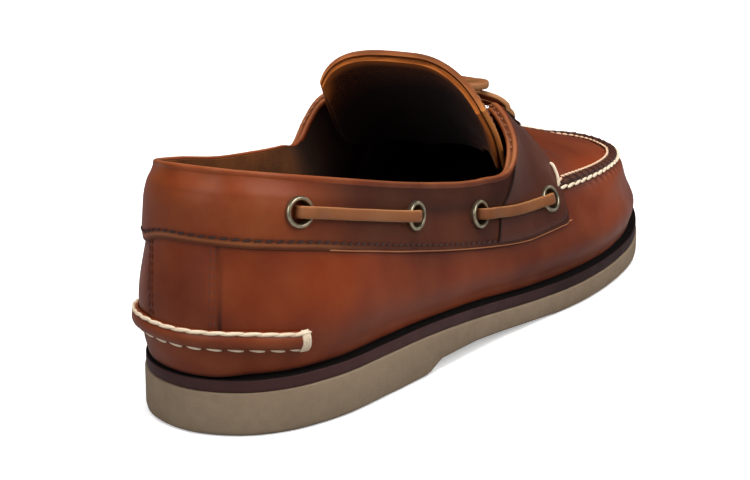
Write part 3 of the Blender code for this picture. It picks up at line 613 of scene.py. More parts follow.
@dataclass(frozen=True)
class Leather(Finish):
    """Oiled pull-up leather with a grain and a soft coat."""

    name: str
    base: str
    deep: str
    light: str
    raw: str
    roughness: float = 0.44
    coat: float = 0.04
    coat_roughness: float = 0.3
    cells: float = 900.0
    grain: float = 0.05
    wrinkle: float = 0.5
    patch: float = 16.0

    def dress(self, graph: Graph, shader: bpy.types.Node) -> None:
        """Wire the leather's shader."""
        tones = {"Base": self.base, "Deep": self.deep, "Light": self.light, "Raw": self.raw}
        inputs = {key: tone(code) for key, code in tones.items()} | {"Patch": self.patch}
        hide = self.group(graph, build_pull_up_group, "pull_up", inputs)
        inputs = {"Cells": self.cells, "Wrinkle": self.wrinkle}
        grain = self.group(graph, build_grain_group, "hide_grain", inputs)
        rough = graph.math("MULTIPLY_ADD", hide.outputs["Cloud"], -0.08, self.roughness + 0.04)
        rough = graph.math("MULTIPLY_ADD", graph.mark("raw"), 0.3, rough)
        rough = graph.math("MULTIPLY_ADD", graph.mark("dark"), 0.3, rough)
        graph.bump(shader, grain.outputs["Height"], self.grain * 4, self.grain * MM * 2)
        graph.fill(shader, {"Base Color": hide.outputs["Color"], "Roughness": rough})
        coat = {"Coat Weight": self.coat, "Coat Roughness": self.coat_roughness}
        graph.fill(shader, coat | {"Specular IOR Level": 0.25})


@dataclass(frozen=True)
class Suede(Finish):
    """Napped lining leather or cloth-like suede with a brushed fibre."""

    name: str
    base: str
    deep: str
    light: str
    roughness: float = 0.92
    fibre: float = 1500.0

    def dress(self, graph: Graph, shader: bpy.types.Node) -> None:
        """Wire the suede's shader."""
        where = graph.where()
        nap = graph.noise(where, self.fibre, 4.0)
        color = graph.mix(graph.cloud(where, 60.0, 3.0, 0.35, 0.7), tone(self.base), tone(self.deep))
        color = graph.tint(color, graph.spread(nap, 0.4, 0.8), 0.35, tone(self.light))
        color = graph.mix(graph.mark("worn"), color, tone(self.light))
        color = graph.tint(color, graph.mark("dark"), 0.95, SUEDE_SHADE)
        graph.bump(shader, nap, 0.5, 0.25 * MM)
        graph.fill(shader, {"Base Color": color, "Roughness": self.roughness, "Specular IOR Level": 0.1})
        graph.fill(shader, {"Sheen Weight": 0.04, "Sheen Roughness": 0.5})


@dataclass(frozen=True)
class Rubber(Finish):
    """Moulded rubber with a fine mottle."""

    name: str
    base: str
    deep: str
    light: str
    roughness: float = 0.7
    mottle: float = 260.0
    specks: float = 0.6
    bump: float = 0.3

    def dress(self, graph: Graph, shader: bpy.types.Node) -> None:
        """Wire the rubber's shader."""
        where = graph.where()
        patch = graph.cloud(where, self.mottle, 5.0, 0.35, 0.68)
        slow = graph.cloud(where, 26.0, 3.0, 0.35, 0.7)
        speck = graph.cloud(where, self.mottle * 6, 2.0, 0.45, 0.72)
        color = graph.tint(tone(self.base), patch, self.specks, tone(self.deep))
        color = graph.tint(color, slow, 0.4, tone(self.light))
        color = graph.tint(color, speck, self.specks * 0.35, tone(self.light))
        color = graph.tint(color, graph.mark("dark"), 0.97, RUBBER_SHADE)
        color = graph.mix(graph.mark("worn"), color, tone(self.light))
        graph.bump(shader, speck, self.bump, 0.12 * MM)
        rough = graph.math("MULTIPLY_ADD", patch, 0.12, self.roughness)
        rough = graph.math("MULTIPLY_ADD", graph.mark("dark"), 0.35, rough)
        graph.fill(shader, {"Base Color": color, "Roughness": rough, "Specular IOR Level": 0.25})


@dataclass(frozen=True)
class Metal(Finish):
    """Plated metal with tarnish in its hollows."""

    name: str
    base: str
    deep: str
    roughness: float = 0.3

    def dress(self, graph: Graph, shader: bpy.types.Node) -> None:
        """Wire the metal's shader."""
        where = graph.where()
        cloud = graph.cloud(where, 700.0, 4.0, 0.42, 0.75)
        tarnish = graph.math("MAXIMUM", graph.mark("dark"), graph.math("MULTIPLY", cloud, 0.45))
        color = graph.mix(tarnish, tone(self.base), tone(self.deep))
        rough = graph.math("MULTIPLY_ADD", tarnish, 0.3, self.roughness)
        graph.bump(shader, graph.noise(where, 2200.0, 2.0), 0.12, 0.05 * MM)
        graph.fill(shader, {"Base Color": color, "Roughness": rough, "Metallic": 0.95})


@dataclass(frozen=True)
class Thread(Finish):
    """Waxed sewing thread, its strands wound round it."""

    name: str
    base: str
    deep: str
    roughness: float = 0.55
    strands: float = 1400.0

    def dress(self, graph: Graph, shader: bpy.types.Node) -> None:
        """Wire the thread's shader."""
        where = graph.where()
        settings = {"Vector": where, "Scale": self.strands, "Distortion": 1.5, "Detail": 2.0}
        wound = graph.add("ShaderNodeTexWave", settings, bands_direction="DIAGONAL").outputs["Fac"]
        gaps = graph.math("SUBTRACT", 1.0, wound)
        color = graph.tint(tone(self.base), gaps, 0.35, tone(self.deep))
        color = graph.tint(color, graph.cloud(where, 160.0, 3.0, 0.45, 0.8), 0.4, tone(self.deep))
        graph.bump(shader, wound, 0.5, 0.1 * MM)
        graph.fill(shader, {"Base Color": color, "Roughness": self.roughness})


UPPER_LEATHER = Leather("upper_leather", "#86340f", "#5e2008", "#a0562a", "#a8653c")
BAND_LEATHER = Leather("band_leather", "#7e3410", "#541e0a", "#a4643a", "#a8683e", roughness=0.5, patch=12.0)
# painted shade and reflection: a darker, purplish copy of the band's leather
EYESTAY_LEATHER = Leather(
    "eyestay_leather", "#572916", "#40190e", "#744432", "#a8683e", roughness=0.42, coat=0.07
)
CUT_LEATHER = Leather("cut_leather", "#a8623a", "#8a4a2a", "#c08258", "#c08258", roughness=0.6, coat=0.0)
BAR_LEATHER = Leather("bar_leather", "#8e431d", "#6c2c14", "#a85e30", "#a8653c", wrinkle=0.9)
RIDGE_LEATHER = Leather("ridge_leather", "#4a2418", "#32160e", "#6a3e2a", "#8a5534", grain=0.08, wrinkle=1.0)
TONGUE_LEATHER = Leather("tongue_leather", "#74381c", "#4e2414", "#a5602f", "#c47a3c")
RAWHIDE = Leather(
    "rawhide", "#8c5430", "#744222", "#b07a4c", "#b98654", roughness=0.5, coat=0.05, cells=1300.0
)
LINING = Suede("lining_suede", "#7a4420", "#5a3016", "#94602e")
# its light tone is the painted light near the tongue's edge
TONGUE_LINING = Suede("tongue_lining", "#4a200e", "#321408", "#b4642a", roughness=0.75)
SOCK = Suede("insole_suede", "#4a2c18", "#362012", "#6b452a")
MIDSOLE_EDGE = Rubber(
    "midsole_edge", "#3e2322", "#2e1918", "#523230", roughness=0.5, mottle=90.0, specks=0.5, bump=0.1
)
OUTSOLE = Rubber("outsole_rubber", "#8e7a64", "#786654", "#a08c74", specks=0.45)
BRASS = Metal("antique_brass", "#b8ad92", "#4a4232", 0.28)
ENAMEL = Metal("dark_enamel", "#3a231c", "#170d0a", 0.38)
CREAM_THREAD = Thread("cream_thread", "#f4e2c6", "#c9a27c")
PINK_THREAD = Thread("pale_thread", "#f2ccaa", "#bd8a68")
DARK_THREAD = Thread("dark_thread", "#3a1a12", "#1c0c08")
BROWN_THREAD = Thread("brown_thread", "#a2694c", "#5a2f20")
STAY_THREAD = Thread("stay_thread", "#5c2c18", "#38180d")


# ---- mesh tools
def bend_grid(columns: int, rows: int, place: Place, marks: dict[str, Place] | None = None) -> BMesh:
    """Bend a flat grid into shape.

    Args:
        columns: Faces along the first share.
        rows: Faces along the second share.
        place: Gives points in millimetres for shares from 0 to 1.
        marks: Gives the numbers that each vertex carries, by name.

    Returns:
        The bent grid, with a UV map of the shares.
    """
    bm = bmesh.new()
    bm.loops.layers.uv.new("UVMap")
    bmesh.ops.create_grid(bm, x_segments=columns, y_segments=rows, size=0.5, calc_uvs=True)
    flat = np.array([vert.co for vert in bm.verts])
    u = np.clip(np.round(flat[:, 0] + 0.5, 6), 0, 1)
    v = np.clip(np.round(flat[:, 1] + 0.5, 6), 0, 1)
    for name, mark in (marks or {}).items():
        layer = bm.verts.layers.float.new(name)
        for vert, value in zip(bm.verts, np.broadcast_to(mark(u, v), u.shape)):
            vert[layer] = float(value)
    for vert, point in zip(bm.verts, place(u, v)):
        vert.co = point
    return bm


def mesh_of(name: str, bm: BMesh) -> bpy.types.Mesh:
    """Write a bmesh to a new mesh and free it."""
    mesh = bpy.data.meshes.new(name)
    bm.to_mesh(mesh)
    bm.free()
    return mesh


def add_object(name: str, data: bpy.types.ID) -> bpy.types.Object:
    """Put a mesh, light or camera in the scene."""
    item = bpy.data.objects.new(name, data)
    bpy.context.scene.collection.objects.link(item)
    return item


def close_up(bm: BMesh, weld: float = 0.004) -> None:
    """Join vertices that meet, then cap what is still open."""
    bmesh.ops.remove_doubles(bm, verts=bm.verts, dist=weld)
    open_edges = [edge for edge in bm.edges if edge.is_boundary]
    if open_edges:
        bmesh.ops.holes_fill(bm, edges=open_edges, sides=0)


def add_piece(
    name: str,
    bm: BMesh,
    finish: Finish,
    stands_for: Sequence[str] = (),
    sharp: float = 42.0,
) -> bpy.types.Object:
    """Turn a bmesh drawn in millimetres into a piece of the shoe.

    Args:
        name: The piece's name.
        bm: Its closed shape, which is freed.
        finish: Its finish.
        stands_for: CAD nodes that it replaces.
        sharp: Edges bent by more degrees than this stay sharp.

    Returns:
        The new object.
    """
    close_up(bm)
    bmesh.ops.scale(bm, vec=(MM, MM, MM), verts=bm.verts)
    bmesh.ops.recalc_face_normals(bm, faces=bm.faces)
    if bm.calc_volume(signed=True) < 0:
        bmesh.ops.reverse_faces(bm, faces=bm.faces)
    mesh = mesh_of(name, bm)
    mesh.materials.append(finish.material())
    mesh.shade_smooth()
    mesh.set_sharp_from_angle(angle=math.radians(sharp))
    piece = add_object(name, mesh)
    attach(piece, "root")
    if stands_for:
        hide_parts(*stands_for)
    LOG.info("%s: %d faces", name, len(mesh.polygons))
    return piece


def strip_ring(v: Array, front: float = 0.66, edge: float = 0.08) -> tuple[Array, ...]:
    """Walk round the section of a strip with round edges.

    Args:
        v: Shares of the walk, which starts on the front at the low edge.
        front: Share of the walk that the front takes.
        edge: Share that each round edge takes.

    Returns:
        The share across, the part of the edge radius past it, and 1 to -1 front to back.
    """
    leg = np.interp(v, (0, front, front + edge, 1 - edge, 1), (0, 1, 2, 3, 4))
    share = np.clip(np.where(leg < 2, leg, 3 - leg), 0, 1)
    angle = np.radians(np.interp(leg, (0, 1, 2, 3, 4), (90, 90, -90, -90, -270)))
    return share, np.cos(angle), np.sin(angle)


def bump_at(x: Array, middle: float, width: float) -> Array:
    """A soft bell, 1 at the middle."""
    return np.exp(-(((np.asarray(x, float) - middle) / width) ** 2))


def arch(share: Array, power: float) -> Array:
    """A rounded arch, 0 at both sides and 1 in the middle."""
    return np.clip(1 - (2 * share - 1) ** 2, 0, 1) ** power


def swollen(x: Array, power: float) -> Array:
    """A sine or cosine with its flanks swollen, for a section between round and square."""
    return np.sign(x) * np.abs(x) ** power


@dataclass
class Strip:
    """A strip of leather laid along the last between two climbs.

    turns are the turns of its ends. low and high give its edges, in climb, at a turn.
    relief moves the front outwards, in millimetres, at a turn, a climb and a share across.
    edge is the radius of its edges, half of its thickness if not given. lean, in turns,
    shifts the upper edge at the rear end.
    """

    turns: tuple[float, float]
    low: Curve
    high: Curve
    base: Curve | float
    thick: float
    columns: int
    rows: int
    relief: Callable[[Array, Array, Array], Array] | None = None
    edge: float | None = None
    lean: float = 0.0

    def where(self, u: Array, v: Array) -> Spot:
        """Turn, climb, share across and front-to-back at shares of the strip."""
        turn = self.turns[0] + (self.turns[1] - self.turns[0]) * u
        share, past, face = strip_ring(v)
        low, high = self.low(turn), self.high(turn)
        radius = self.thick / 2 if self.edge is None else self.edge
        climb = low + (high - low) * share
        climb = climb + LAST.climb_step(turn, np.clip(climb, 0.03, 0.97), past * radius)
        return Spot(turn + self.lean * share**0.85 * self.fade(u), climb, share, face)

    def fade(self, u: Array) -> Array:
        """How much of the lean is left: all at the strip's rear end, none at the front."""
        return 1 - smooth_step(0.0, 0.3, u if self.lean > 0 else 1 - u)

    def place(self, u: Array, v: Array) -> Array:
        """Points of the strip."""
        turn, climb, share, face = self.where(u, v)
        base = self.base(turn) if callable(self.base) else self.base
        proud = base + self.thick * (1 + face) / 2
        if self.relief:
            proud = proud + self.relief(turn, climb, share) * (1 + face) / 2
        return LAST.skin(turn, climb, proud)

    def build(self, marks: Marks | None = None) -> BMesh:
        """Bend the strip, and carry the marks."""
        carried = {
            name: (lambda u, v, mark=mark: mark(self.where(u, v))) for name, mark in (marks or {}).items()
        }
        return bend_grid(self.columns, self.rows, self.place, carried)


@dataclass(frozen=True)
class Stitching:
    """A row of stitches: their pitch, length, width, height and slant in degrees."""

    pitch: float
    length: float
    wide: float
    high: float
    slant: float = 0.0
    sink: float = 0.25

    def sew(self, points: Array, normals: Array) -> BMesh:
        """Lay stitches along a line.

        Args:
            points: Places along the line, close together, in millimetres.
            normals: The direction out of the leather at each place.

        Returns:
            One mesh with every stitch.
        """
        bm = bmesh.new()
        run = runs(points)
        count = max(1, int(run[-1] / self.pitch))
        for place in (np.arange(count) + 0.5) * run[-1] / count:
            centre, ahead = read_rows(np.array((place, place + 0.3)), run, points)
            out = Vector(read_rows(np.array((place,)), run, normals)[0]).normalized()
            along = Vector(ahead - centre)
            if along.length < 1e-6:
                along = Vector(points[-1] - points[-2])
            along = (along - out * along.dot(out)).normalized()
            along = Matrix.Rotation(math.radians(self.slant), 3, out) @ along
            across = out.cross(along)
            turning = Matrix((along, across, out)).transposed().to_4x4()
            shape = Matrix.Diagonal((self.length / 2, self.wide / 2, self.high / 2, 1.0))
            lift = Vector(centre) + out * self.high * (0.5 - self.sink)
            matrix = Matrix.Translation(lift) @ turning @ shape @ Matrix.Rotation(math.pi / 2, 4, "Y")
            bmesh.ops.create_uvsphere(bm, u_segments=8, v_segments=6, radius=1.0, matrix=matrix)
        return bm


def seam_line(turns: Sequence[float], climbs: Sequence[float], proud: float, count: int = 400) -> tuple:
    """Points and normals along a line on the last.

    Args:
        turns: Turns of the line's stops.
        climbs: Climbs of the line's stops.
        proud: How far the line lies off the last.
        count: How many points to give.

    Returns:
        The points and the normals.
    """
    share = np.linspace(0, 1, len(turns))
    t = np.linspace(0, 1, count)
    return LAST.line(np.interp(t, share, turns), np.interp(t, share, climbs), proud)


@dataclass
class Tube:
    """A lace or cord of rounded section along a path."""

    points: Array
    widths: Array
    wide: float
    thick: float
    square: float = 0.45
    sides: int = 20
    spacing: float = 0.9

    def path(self) -> Array:
        """Close places along the tube's middle line."""
        run = runs(self.points)
        return curve_through(run, self.points, np.linspace(0, run[-1], int(run[-1] / self.spacing) + 2))

    def build(self) -> BMesh:
        """Bend a grid round the path."""
        path = self.path()
        run = runs(self.points)
        count = len(path)
        share = np.linspace(0, run[-1], count)
        tangent = unit(np.gradient(path, axis=0))
        across = read_rows(share, run, self.widths)
        across = unit(across - tangent * np.sum(across * tangent, axis=1)[:, None])
        out = np.cross(across, tangent)
        index = np.arange(count)

        def section(v: Array) -> tuple[Array, Array]:
            """Places across and out of the section."""
            angle = 2 * math.pi * v
            wide = swollen(np.cos(angle), self.square)
            high = swollen(np.sin(angle), self.square)
            return wide * self.wide / 2, high * self.thick / 2

        def place(u: Array, v: Array) -> Array:
            """Points of the tube."""
            i = np.interp(u, np.linspace(0, 1, count), index)
            take = np.clip(np.round(i).astype(int), 0, count - 1)
            w, h = section(v)
            ends = np.minimum(take, count - 1 - take)
            tuck = np.where(ends == 0, 0.78, 1.0)
            return path[take] + across[take] * (w * tuck)[:, None] + out[take] * (h * tuck)[:, None]

        def worn(u: Array, v: Array) -> Array:
            """Painted highlights on the corners."""
            w, _ = section(v)
            return smooth_step(0.78, 1.0, np.abs(w) / (self.wide / 2)) * 0.75

        return bend_grid(count - 1, self.sides, place, {"worn": worn})


# ---- the sole
@dataclass(frozen=True)
class SectionStop:
    """A corner of a sole's edge section: its inset, its face (0 below, 1 above) and height off that face."""

    inset: float
    face: int
    off: float


@dataclass
class Sole:
    """Rubber outsole with a siped tread, a midsole and an insole."""

    sipe_pitch: float = 4.6
    sipe_wide: float = 0.7
    sipe_deep: float = 1.7
    wave_high: float = 1.7
    wave_long: float = 13.0
    tread_inset: float = 7.6
    tread_off: float = 0.22
    tread_thick: float = 4.6
    insole_inset: float = 7.2
    insole_thick: float = 3.4
    outsole_stops: tuple[SectionStop, ...] = table(
        SectionStop,
        (9.6, 0, 0.0),
        (2.0, 0, 0.0),
        (0.9, 0, 0.25),
        (0.25, 0, 0.8),
        (0.0, 0, 1.8),
        (0.0, 1, -0.1),
        (0.15, 1, 0.6),
        (0.6, 1, 0.9),
        (13.0, 1, 0.9),
        (13.0, 0, 3.0),
        (9.6, 0, 0.0),
    )
    midsole_stops: tuple[SectionStop, ...] = table(
        SectionStop,
        (12.0, 0, 0.95),
        (1.1, 0, 0.95),
        (0.6, 0, 1.2),
        (0.4, 0, 1.8),
        (0.42, 1, -1.45),
        (0.8, 1, -1.15),
        (2.2, 1, -1.5),
        (4.2, 1, -1.9),
        (4.6, 1, 0.0),
        (14.0, 1, 0.0),
        (14.0, 0, 0.95),
        (12.0, 0, 0.95),
    )

    def edge_ring(
        self,
        stops: Sequence[SectionStop],
        bottom: Curve,
        top: Curve,
        marks: dict[str, Place] | None = None,
    ) -> BMesh:
        """Sweep a section round the sole.

        Args:
            stops: Corners of the closed section.
            bottom: Height of the lower face at a place along Y.
            top: Height of the upper face.
            marks: Numbers that the vertices carry.

        Returns:
            The closed ring.
        """
        rows = (len(stops) - 1) * 2
        at = np.linspace(0, 1, len(stops))

        def place(u: Array, v: Array) -> Array:
            """Points of the ring."""
            inset, upper, off = (np.interp(v, at, column) for column in sizes(stops).T)
            plan = LAST.inset(u, inset)
            low, high = bottom(plan[:, 1]), top(plan[:, 1])
            return np.column_stack([plan, low + (high - low) * upper + off])

        return bend_grid(420, rows, place, marks)

    def plan_rows(self, inset: float) -> tuple[Array, Array, Array]:
        """Rows of facing edge points at one inset: Y, lateral X and medial X."""
        turn = np.linspace(0, 0.5, 900)
        lateral = LAST.inset(turn, inset)
        medial = LAST.inset(1 - turn, inset)
        heel, toe = lateral[:, 1].max() - 0.01, lateral[:, 1].min() + 0.01
        y = heel + (toe - heel) * (0.5 - 0.5 * np.cos(np.linspace(0, math.pi, 700)))
        sides = [np.interp(-y, -side[:, 1], side[:, 0]) for side in (lateral, medial)]
        return y, sides[0], sides[1]

    def tread(self) -> BMesh:
        """A plate cut across by wavy sipes."""
        y, lateral, medial = self.plan_rows(self.tread_inset)
        half = self.sipe_wide / 2
        places, depths = [float(y[0])], [0.0]
        for middle in np.arange(y[0] - 5.0, y[-1] + 4.0, -self.sipe_pitch):
            places += [middle + half + 0.12, middle + half, middle - half, middle - half - 0.12]
            depths += [0.0, self.sipe_deep, self.sipe_deep, 0.0]
        places.append(float(y[-1]))
        depths.append(0.0)
        rows = len(places) * 2 - 1
        row_y = np.array(places + places[::-1])
        row_deep = np.array(depths + [self.tread_thick] * len(depths))

        def place(u: Array, v: Array) -> Array:
            """Points of the plate, its tread first and then its back."""
            row = np.round(v * rows).astype(int)
            here = row_y[row]
            left, right = (np.interp(-here, -y, side) for side in (lateral, medial))
            x = left + (right - left) * u
            ends = smooth_step(0, 6, np.minimum(y[0] - here, here - y[-1]))
            here = here + self.wave_high * np.sin(2 * math.pi * x / self.wave_long) * ends
            edge = smooth_step(0.0, 0.05, np.minimum(u, 1 - u))
            deep = np.where(row < len(places), row_deep[row] * edge, row_deep[row])
            return np.column_stack([x, here, LAST.tread(here) + self.tread_off + deep])

        def dark(u: Array, v: Array) -> Array:
            """Painted shade in the sipes."""
            row = np.round(v * rows).astype(int)
            return np.where((row_deep[row] > 0) & (row < len(places)), 0.8, 0.0)

        return bend_grid(72, rows, place, {"dark": dark})

    def insole(self) -> BMesh:
        """A footbed with a pressed line near its edge."""
        y, lateral, medial = self.plan_rows(self.insole_inset)
        ends = np.linspace(0, 1, len(y))

        def place(u: Array, v: Array) -> Array:
            """Points of the footbed."""
            share, past, face = strip_ring(v, 0.6, 0.08)
            here, left, right = (np.interp(u, ends, row) for row in (y, lateral, medial))
            wide = right - left
            x = left + wide * share + past * np.minimum(0.8, wide / 2)
            border = np.minimum(share, 1 - share) * wide
            relief = -0.35 * bump_at(border, 4.5, 0.7) + 0.5 * smooth_step(0, 10, border)
            z = LAST.midsole_top(here) + GAP + self.insole_thick * (1 + face) / 2
            return np.column_stack([x, here, z + (relief - 0.5) * (1 + face) / 2])

        return bend_grid(240, 60, place, {"dark": lambda u, v: np.full(u.shape, 0.25)})

    def build(self) -> None:
        """Make every piece of the sole."""
        ring = self.edge_ring(self.outsole_stops, LAST.tread, LAST.outsole_top)
        add_piece("outsole_wall", ring, OUTSOLE, ["outsole"])
        add_piece("outsole_tread", self.tread(), OUTSOLE, ["outsole"])

        def dark(u: Array, v: Array) -> Array:
            """The shaded notch under the upper, and the darker front half."""
            front = 0.45 * smooth_step(0.15, 0.3, u) * (1 - smooth_step(0.7, 0.85, u))
            return np.maximum(smooth_step(0.40, 0.455, v) * (1 - smooth_step(0.85, 0.9, v)), front)

        marks = {"dark": dark}
        ring = self.edge_ring(self.midsole_stops, LAST.outsole_top, LAST.midsole_top, marks)
        add_piece("midsole_edge", ring, MIDSOLE_EDGE, ["midsole"])
        add_piece("footbed", self.insole(), SOCK, ["insole"])


# ---- the upper
@dataclass(frozen=True)
class Crease:
    """A soft trough or ridge in the leather, between two places on the last."""

    start: tuple[float, float]
    end: tuple[float, float]
    high: float
    wide: float

    def lift(self, points: Array) -> Array:
        """How far the crease moves each point of the surface."""
        a, b = (LAST.point(np.array([turn]), climb)[0] for turn, climb in (self.start, self.end))
        axis = b - a
        share = np.clip((points - a) @ axis / (axis @ axis), 0, 1)
        distance = np.linalg.norm(points - a - share[:, None] * axis, axis=1)
        fade = smooth_step(-0.15, 0.25, share) * (1 - smooth_step(0.75, 1.15, share))
        return self.high * np.exp(-((distance / self.wide) ** 2)) * fade


@dataclass
class Upper:
    """The leather shell, its lining and the stay up the back of the heel."""

    shell_thick: float = 1.15
    lining_thick: float = 0.5
    pucker_pitch: float = 5.4
    pucker_high: float = 0.14
    stay_high: float = 0.4
    stay_fold: float = 2.2
    foot_push: float = 1.8
    foot_lip: float = 0.6
    crown_high: float = 1.7
    toe_belly: float = 0.6
    toe_waist: float = 0.45
    swell_high: float = 0.12
    creases: tuple[Crease, ...] = ()

    def toe_crown(self, turn: Array) -> Array:
        """1 round the toe, where the apron stands up inside its seam."""
        turn = np.mod(turn, 1.0)
        return smooth_step(0.38, 0.47, turn) * (1 - smooth_step(0.6, 0.68, turn))

    def line_run(self, turn: Array) -> Array:
        """Distance walked along the moccasin seam at a turn."""
        turns = np.linspace(0.2, 0.8, 1200)
        line = runs(LAST.point(turns, LAST.line_climb))
        return np.interp(turn, turns, line)

    def puckers(self, turn: Array, climb: Array) -> Array:
        """Small gathers on both sides of the moccasin seam."""
        along = LAST.along_at(turn)
        wave = np.cos(2 * math.pi * self.line_run(np.mod(turn, 1.0)) / self.pucker_pitch)
        near = bump_at(climb, LAST.line_climb - 0.03, 0.022)
        return self.pucker_high * wave * near * smooth_step(0.6, 0.68, along)

    def stay_edge(self, side: Side, climb: Array) -> Array:
        """Distance from the shoe's axis to the sewn line down one edge of the heel stay."""
        share = np.clip((LAST.band_climb - climb) / 0.2, 0, 1)
        ends = (8.8, 10.4) if side is Side.LATERAL else (14.2, 11.0)
        return ends[0] + (ends[1] - ends[0]) * share

    def past_fold(self, x: Array, climb: Array) -> Array:
        """How far a place across lies inside the outer fold of the heel stay."""
        lateral, medial = (self.stay_edge(side, climb) for side in Side)
        return np.where(x < 0, lateral, medial) + self.stay_fold - np.abs(x)

    def relief(self, turn: Array, climb: Array, share: Array) -> Array:
        """Everything that moves the shell's outer face."""
        points = LAST.point(turn, climb)
        lift = self.puckers(turn, climb)
        x = points[:, 0] - LAST.axis_x
        behind = (np.mod(turn + 0.5, 1.0) > 0.35) & (np.mod(turn + 0.5, 1.0) < 0.65)
        past = self.past_fold(x, climb)
        groove = 0.22 * bump_at(past, -0.25, 0.35) + 0.16 * bump_at(past, self.stay_fold, 0.4)
        stay = (self.stay_high * smooth_step(-0.3, 0.3, past) - groove) * smooth_step(0.11, 0.15, climb)
        lift = lift + stay * behind * (climb < LAST.band_climb + 0.04)
        heel = np.mod(turn + 0.5, 1.0) - 0.5
        inner = smooth_step(-0.16, -0.09, heel) - smooth_step(0.01, 0.03, heel)
        lift = lift + self.foot_push * inner * (1 - smooth_step(0.04, 0.12, climb))
        lift = lift + self.foot_lip * (1 - smooth_step(0.0, 0.06, climb))
        crown = self.crown_high * self.toe_crown(turn) * smooth_step(0.59, 0.7, climb)
        lift = lift + crown * (1 - smooth_step(0.88, 0.97, climb))
        toe = smooth_step(0.68, 0.8, LAST.along_of(points[:, 1]))
        belly, waist = bump_at(climb, 0.37, 0.06), bump_at(climb, 0.2, 0.07)
        lift = lift + toe * (self.toe_belly * belly - self.toe_waist * waist)
        swell = np.sin(points[:, 1] * 0.11 + points[:, 2] * 0.07)
        swell = swell + np.sin(points[:, 1] * 0.047 - points[:, 0] * 0.09)
        lift = lift + self.swell_high * swell
        for crease in self.creases:
            lift = lift + crease.lift(points)
        return lift

    def shell(self) -> Strip:
        """The outer shell, from the feather edge to the rim."""
        return Strip(
            turns=(0.0, 1.0),
            low=lambda turn: np.full(turn.shape, 0.0),
            high=lambda turn: np.full(turn.shape, 1.0),
            base=-self.shell_thick,
            thick=self.shell_thick,
            columns=620,
            rows=116,
            relief=self.relief,
            edge=0.0,
        )

    def lining(self) -> Strip:
        """The lining inside the shell."""
        return Strip(
            turns=(0.0, 1.0),
            low=lambda turn: np.full(turn.shape, 0.02),
            high=lambda turn: np.full(turn.shape, 0.99),
            base=-self.shell_thick - 0.1 - self.lining_thick,
            thick=self.lining_thick,
            columns=320,
            rows=60,
            edge=0.0,
        )

    def shell_marks(self) -> Marks:
        """Painted highlights and painted shade on the shell."""

        def worn(at: Spot) -> Array:
            """Painted highlight where the lasted edge turns under and on the crests of the puckers."""
            low = 0.15 * bump_at(at.climb, 0.07, 0.05)
            gather = 0.5 * np.maximum(self.puckers(at.turn, at.climb), 0) / self.pucker_high
            return np.clip(low + gather, 0, 1)

        def dark(at: Spot) -> Array:
            """Painted shade under the band, in the seam's gathers, in the heel stay's fold, along the foot
            and on the quarters below the band; the inner face and the apron darker.
            """
            turn, climb, _, face = at
            gather = 0.5 * np.maximum(-self.puckers(turn, climb), 0) / self.pucker_high
            below = (BAND.low(turn) - climb) / LAST.climb_step(turn, 0.4, 1.0)
            along = LAST.along_at(turn)
            under = 0.75 * bump_at(below, -0.4, 0.9) * (along < BAND.front)
            past = self.past_fold(LAST.point(turn, climb)[:, 0] - LAST.axis_x, climb)
            fold = 0.95 * bump_at(past, -0.2, 0.45) * (along < 0.05)
            fold = fold * smooth_step(0.11, 0.15, climb)
            apron = 0.35 * smooth_step(0.6, 0.72, climb) * smooth_step(0.58, 0.64, along)
            # painted shade along the foot and on the quarters below the band
            foot = 0.9 * (1 - smooth_step(0.002, 0.012, climb))
            shade = 0.35 * smooth_step(0.12, 0.3, along) * (1 - smooth_step(0.5, 0.62, along))
            foot = foot + shade * smooth_step(0.14, 0.34, climb) * (climb < 0.5)
            return np.clip(gather + (face < 0) * 0.6 + under + fold + foot + apron, 0, 1)

        return {"worn": worn, "dark": dark}

    def lining_marks(self) -> Marks:
        """Painted shade: the lining darkens with depth."""

        def dark(at: Spot) -> Array:
            """Painted shade, darker towards the insole and the toe."""
            ahead = 0.95 * smooth_step(0.34, 0.46, LAST.along_at(at.turn))
            return np.maximum(0.8 * (1 - smooth_step(0.5, 0.95, at.climb)), ahead)

        return {"dark": dark}

    def stay_seams(self) -> None:
        """Two rows of stitches down each edge of the heel stay."""
        for side in Side:
            for index, inset in enumerate((0.0, 1.3)):
                turns, climbs = [], np.linspace(LAST.band_climb - 0.005, 0.162, 40)
                for climb in climbs:
                    x = LAST.axis_x + side.sign * (float(self.stay_edge(side, climb)) + inset)
                    probe = np.linspace(0.0, 0.12, 120) * -side.sign
                    reach = LAST.point(probe, climb)[:, 0]
                    order = np.argsort(reach)
                    turns.append(float(np.interp(x, reach[order], probe[order])))
                line = seam_line(turns, climbs, self.stay_high - 0.05)
                rows = Stitching(pitch=2.3, length=1.95, wide=0.5, high=0.4)
                name = f"stay_stitches_{side.word}_{index + 1}"
                add_piece(name, rows.sew(*line), STAY_THREAD, ["upper"])

    def build(self) -> None:
        """Make every piece of the upper."""
        bm = self.shell().build(self.shell_marks())
        add_piece("upper_shell", bm, UPPER_LEATHER, ["upper"])
        bm = self.lining().build(self.lining_marks())
        add_piece("upper_lining", bm, LINING, ["upper"])
        self.stay_seams()


# ---- the quarter band
@dataclass(frozen=True)
class BandEdge:
    """Lower and upper edge of the band, in climb, at a share of the length."""

    along: float
    low: float
    high: float = 0.975


def edge_at(rows: Sequence[BandEdge], column: str, along: Array) -> Array:
    """Read one edge of the band at shares of the length."""
    return np.interp(along, [row.along for row in rows], [getattr(row, column) for row in rows])


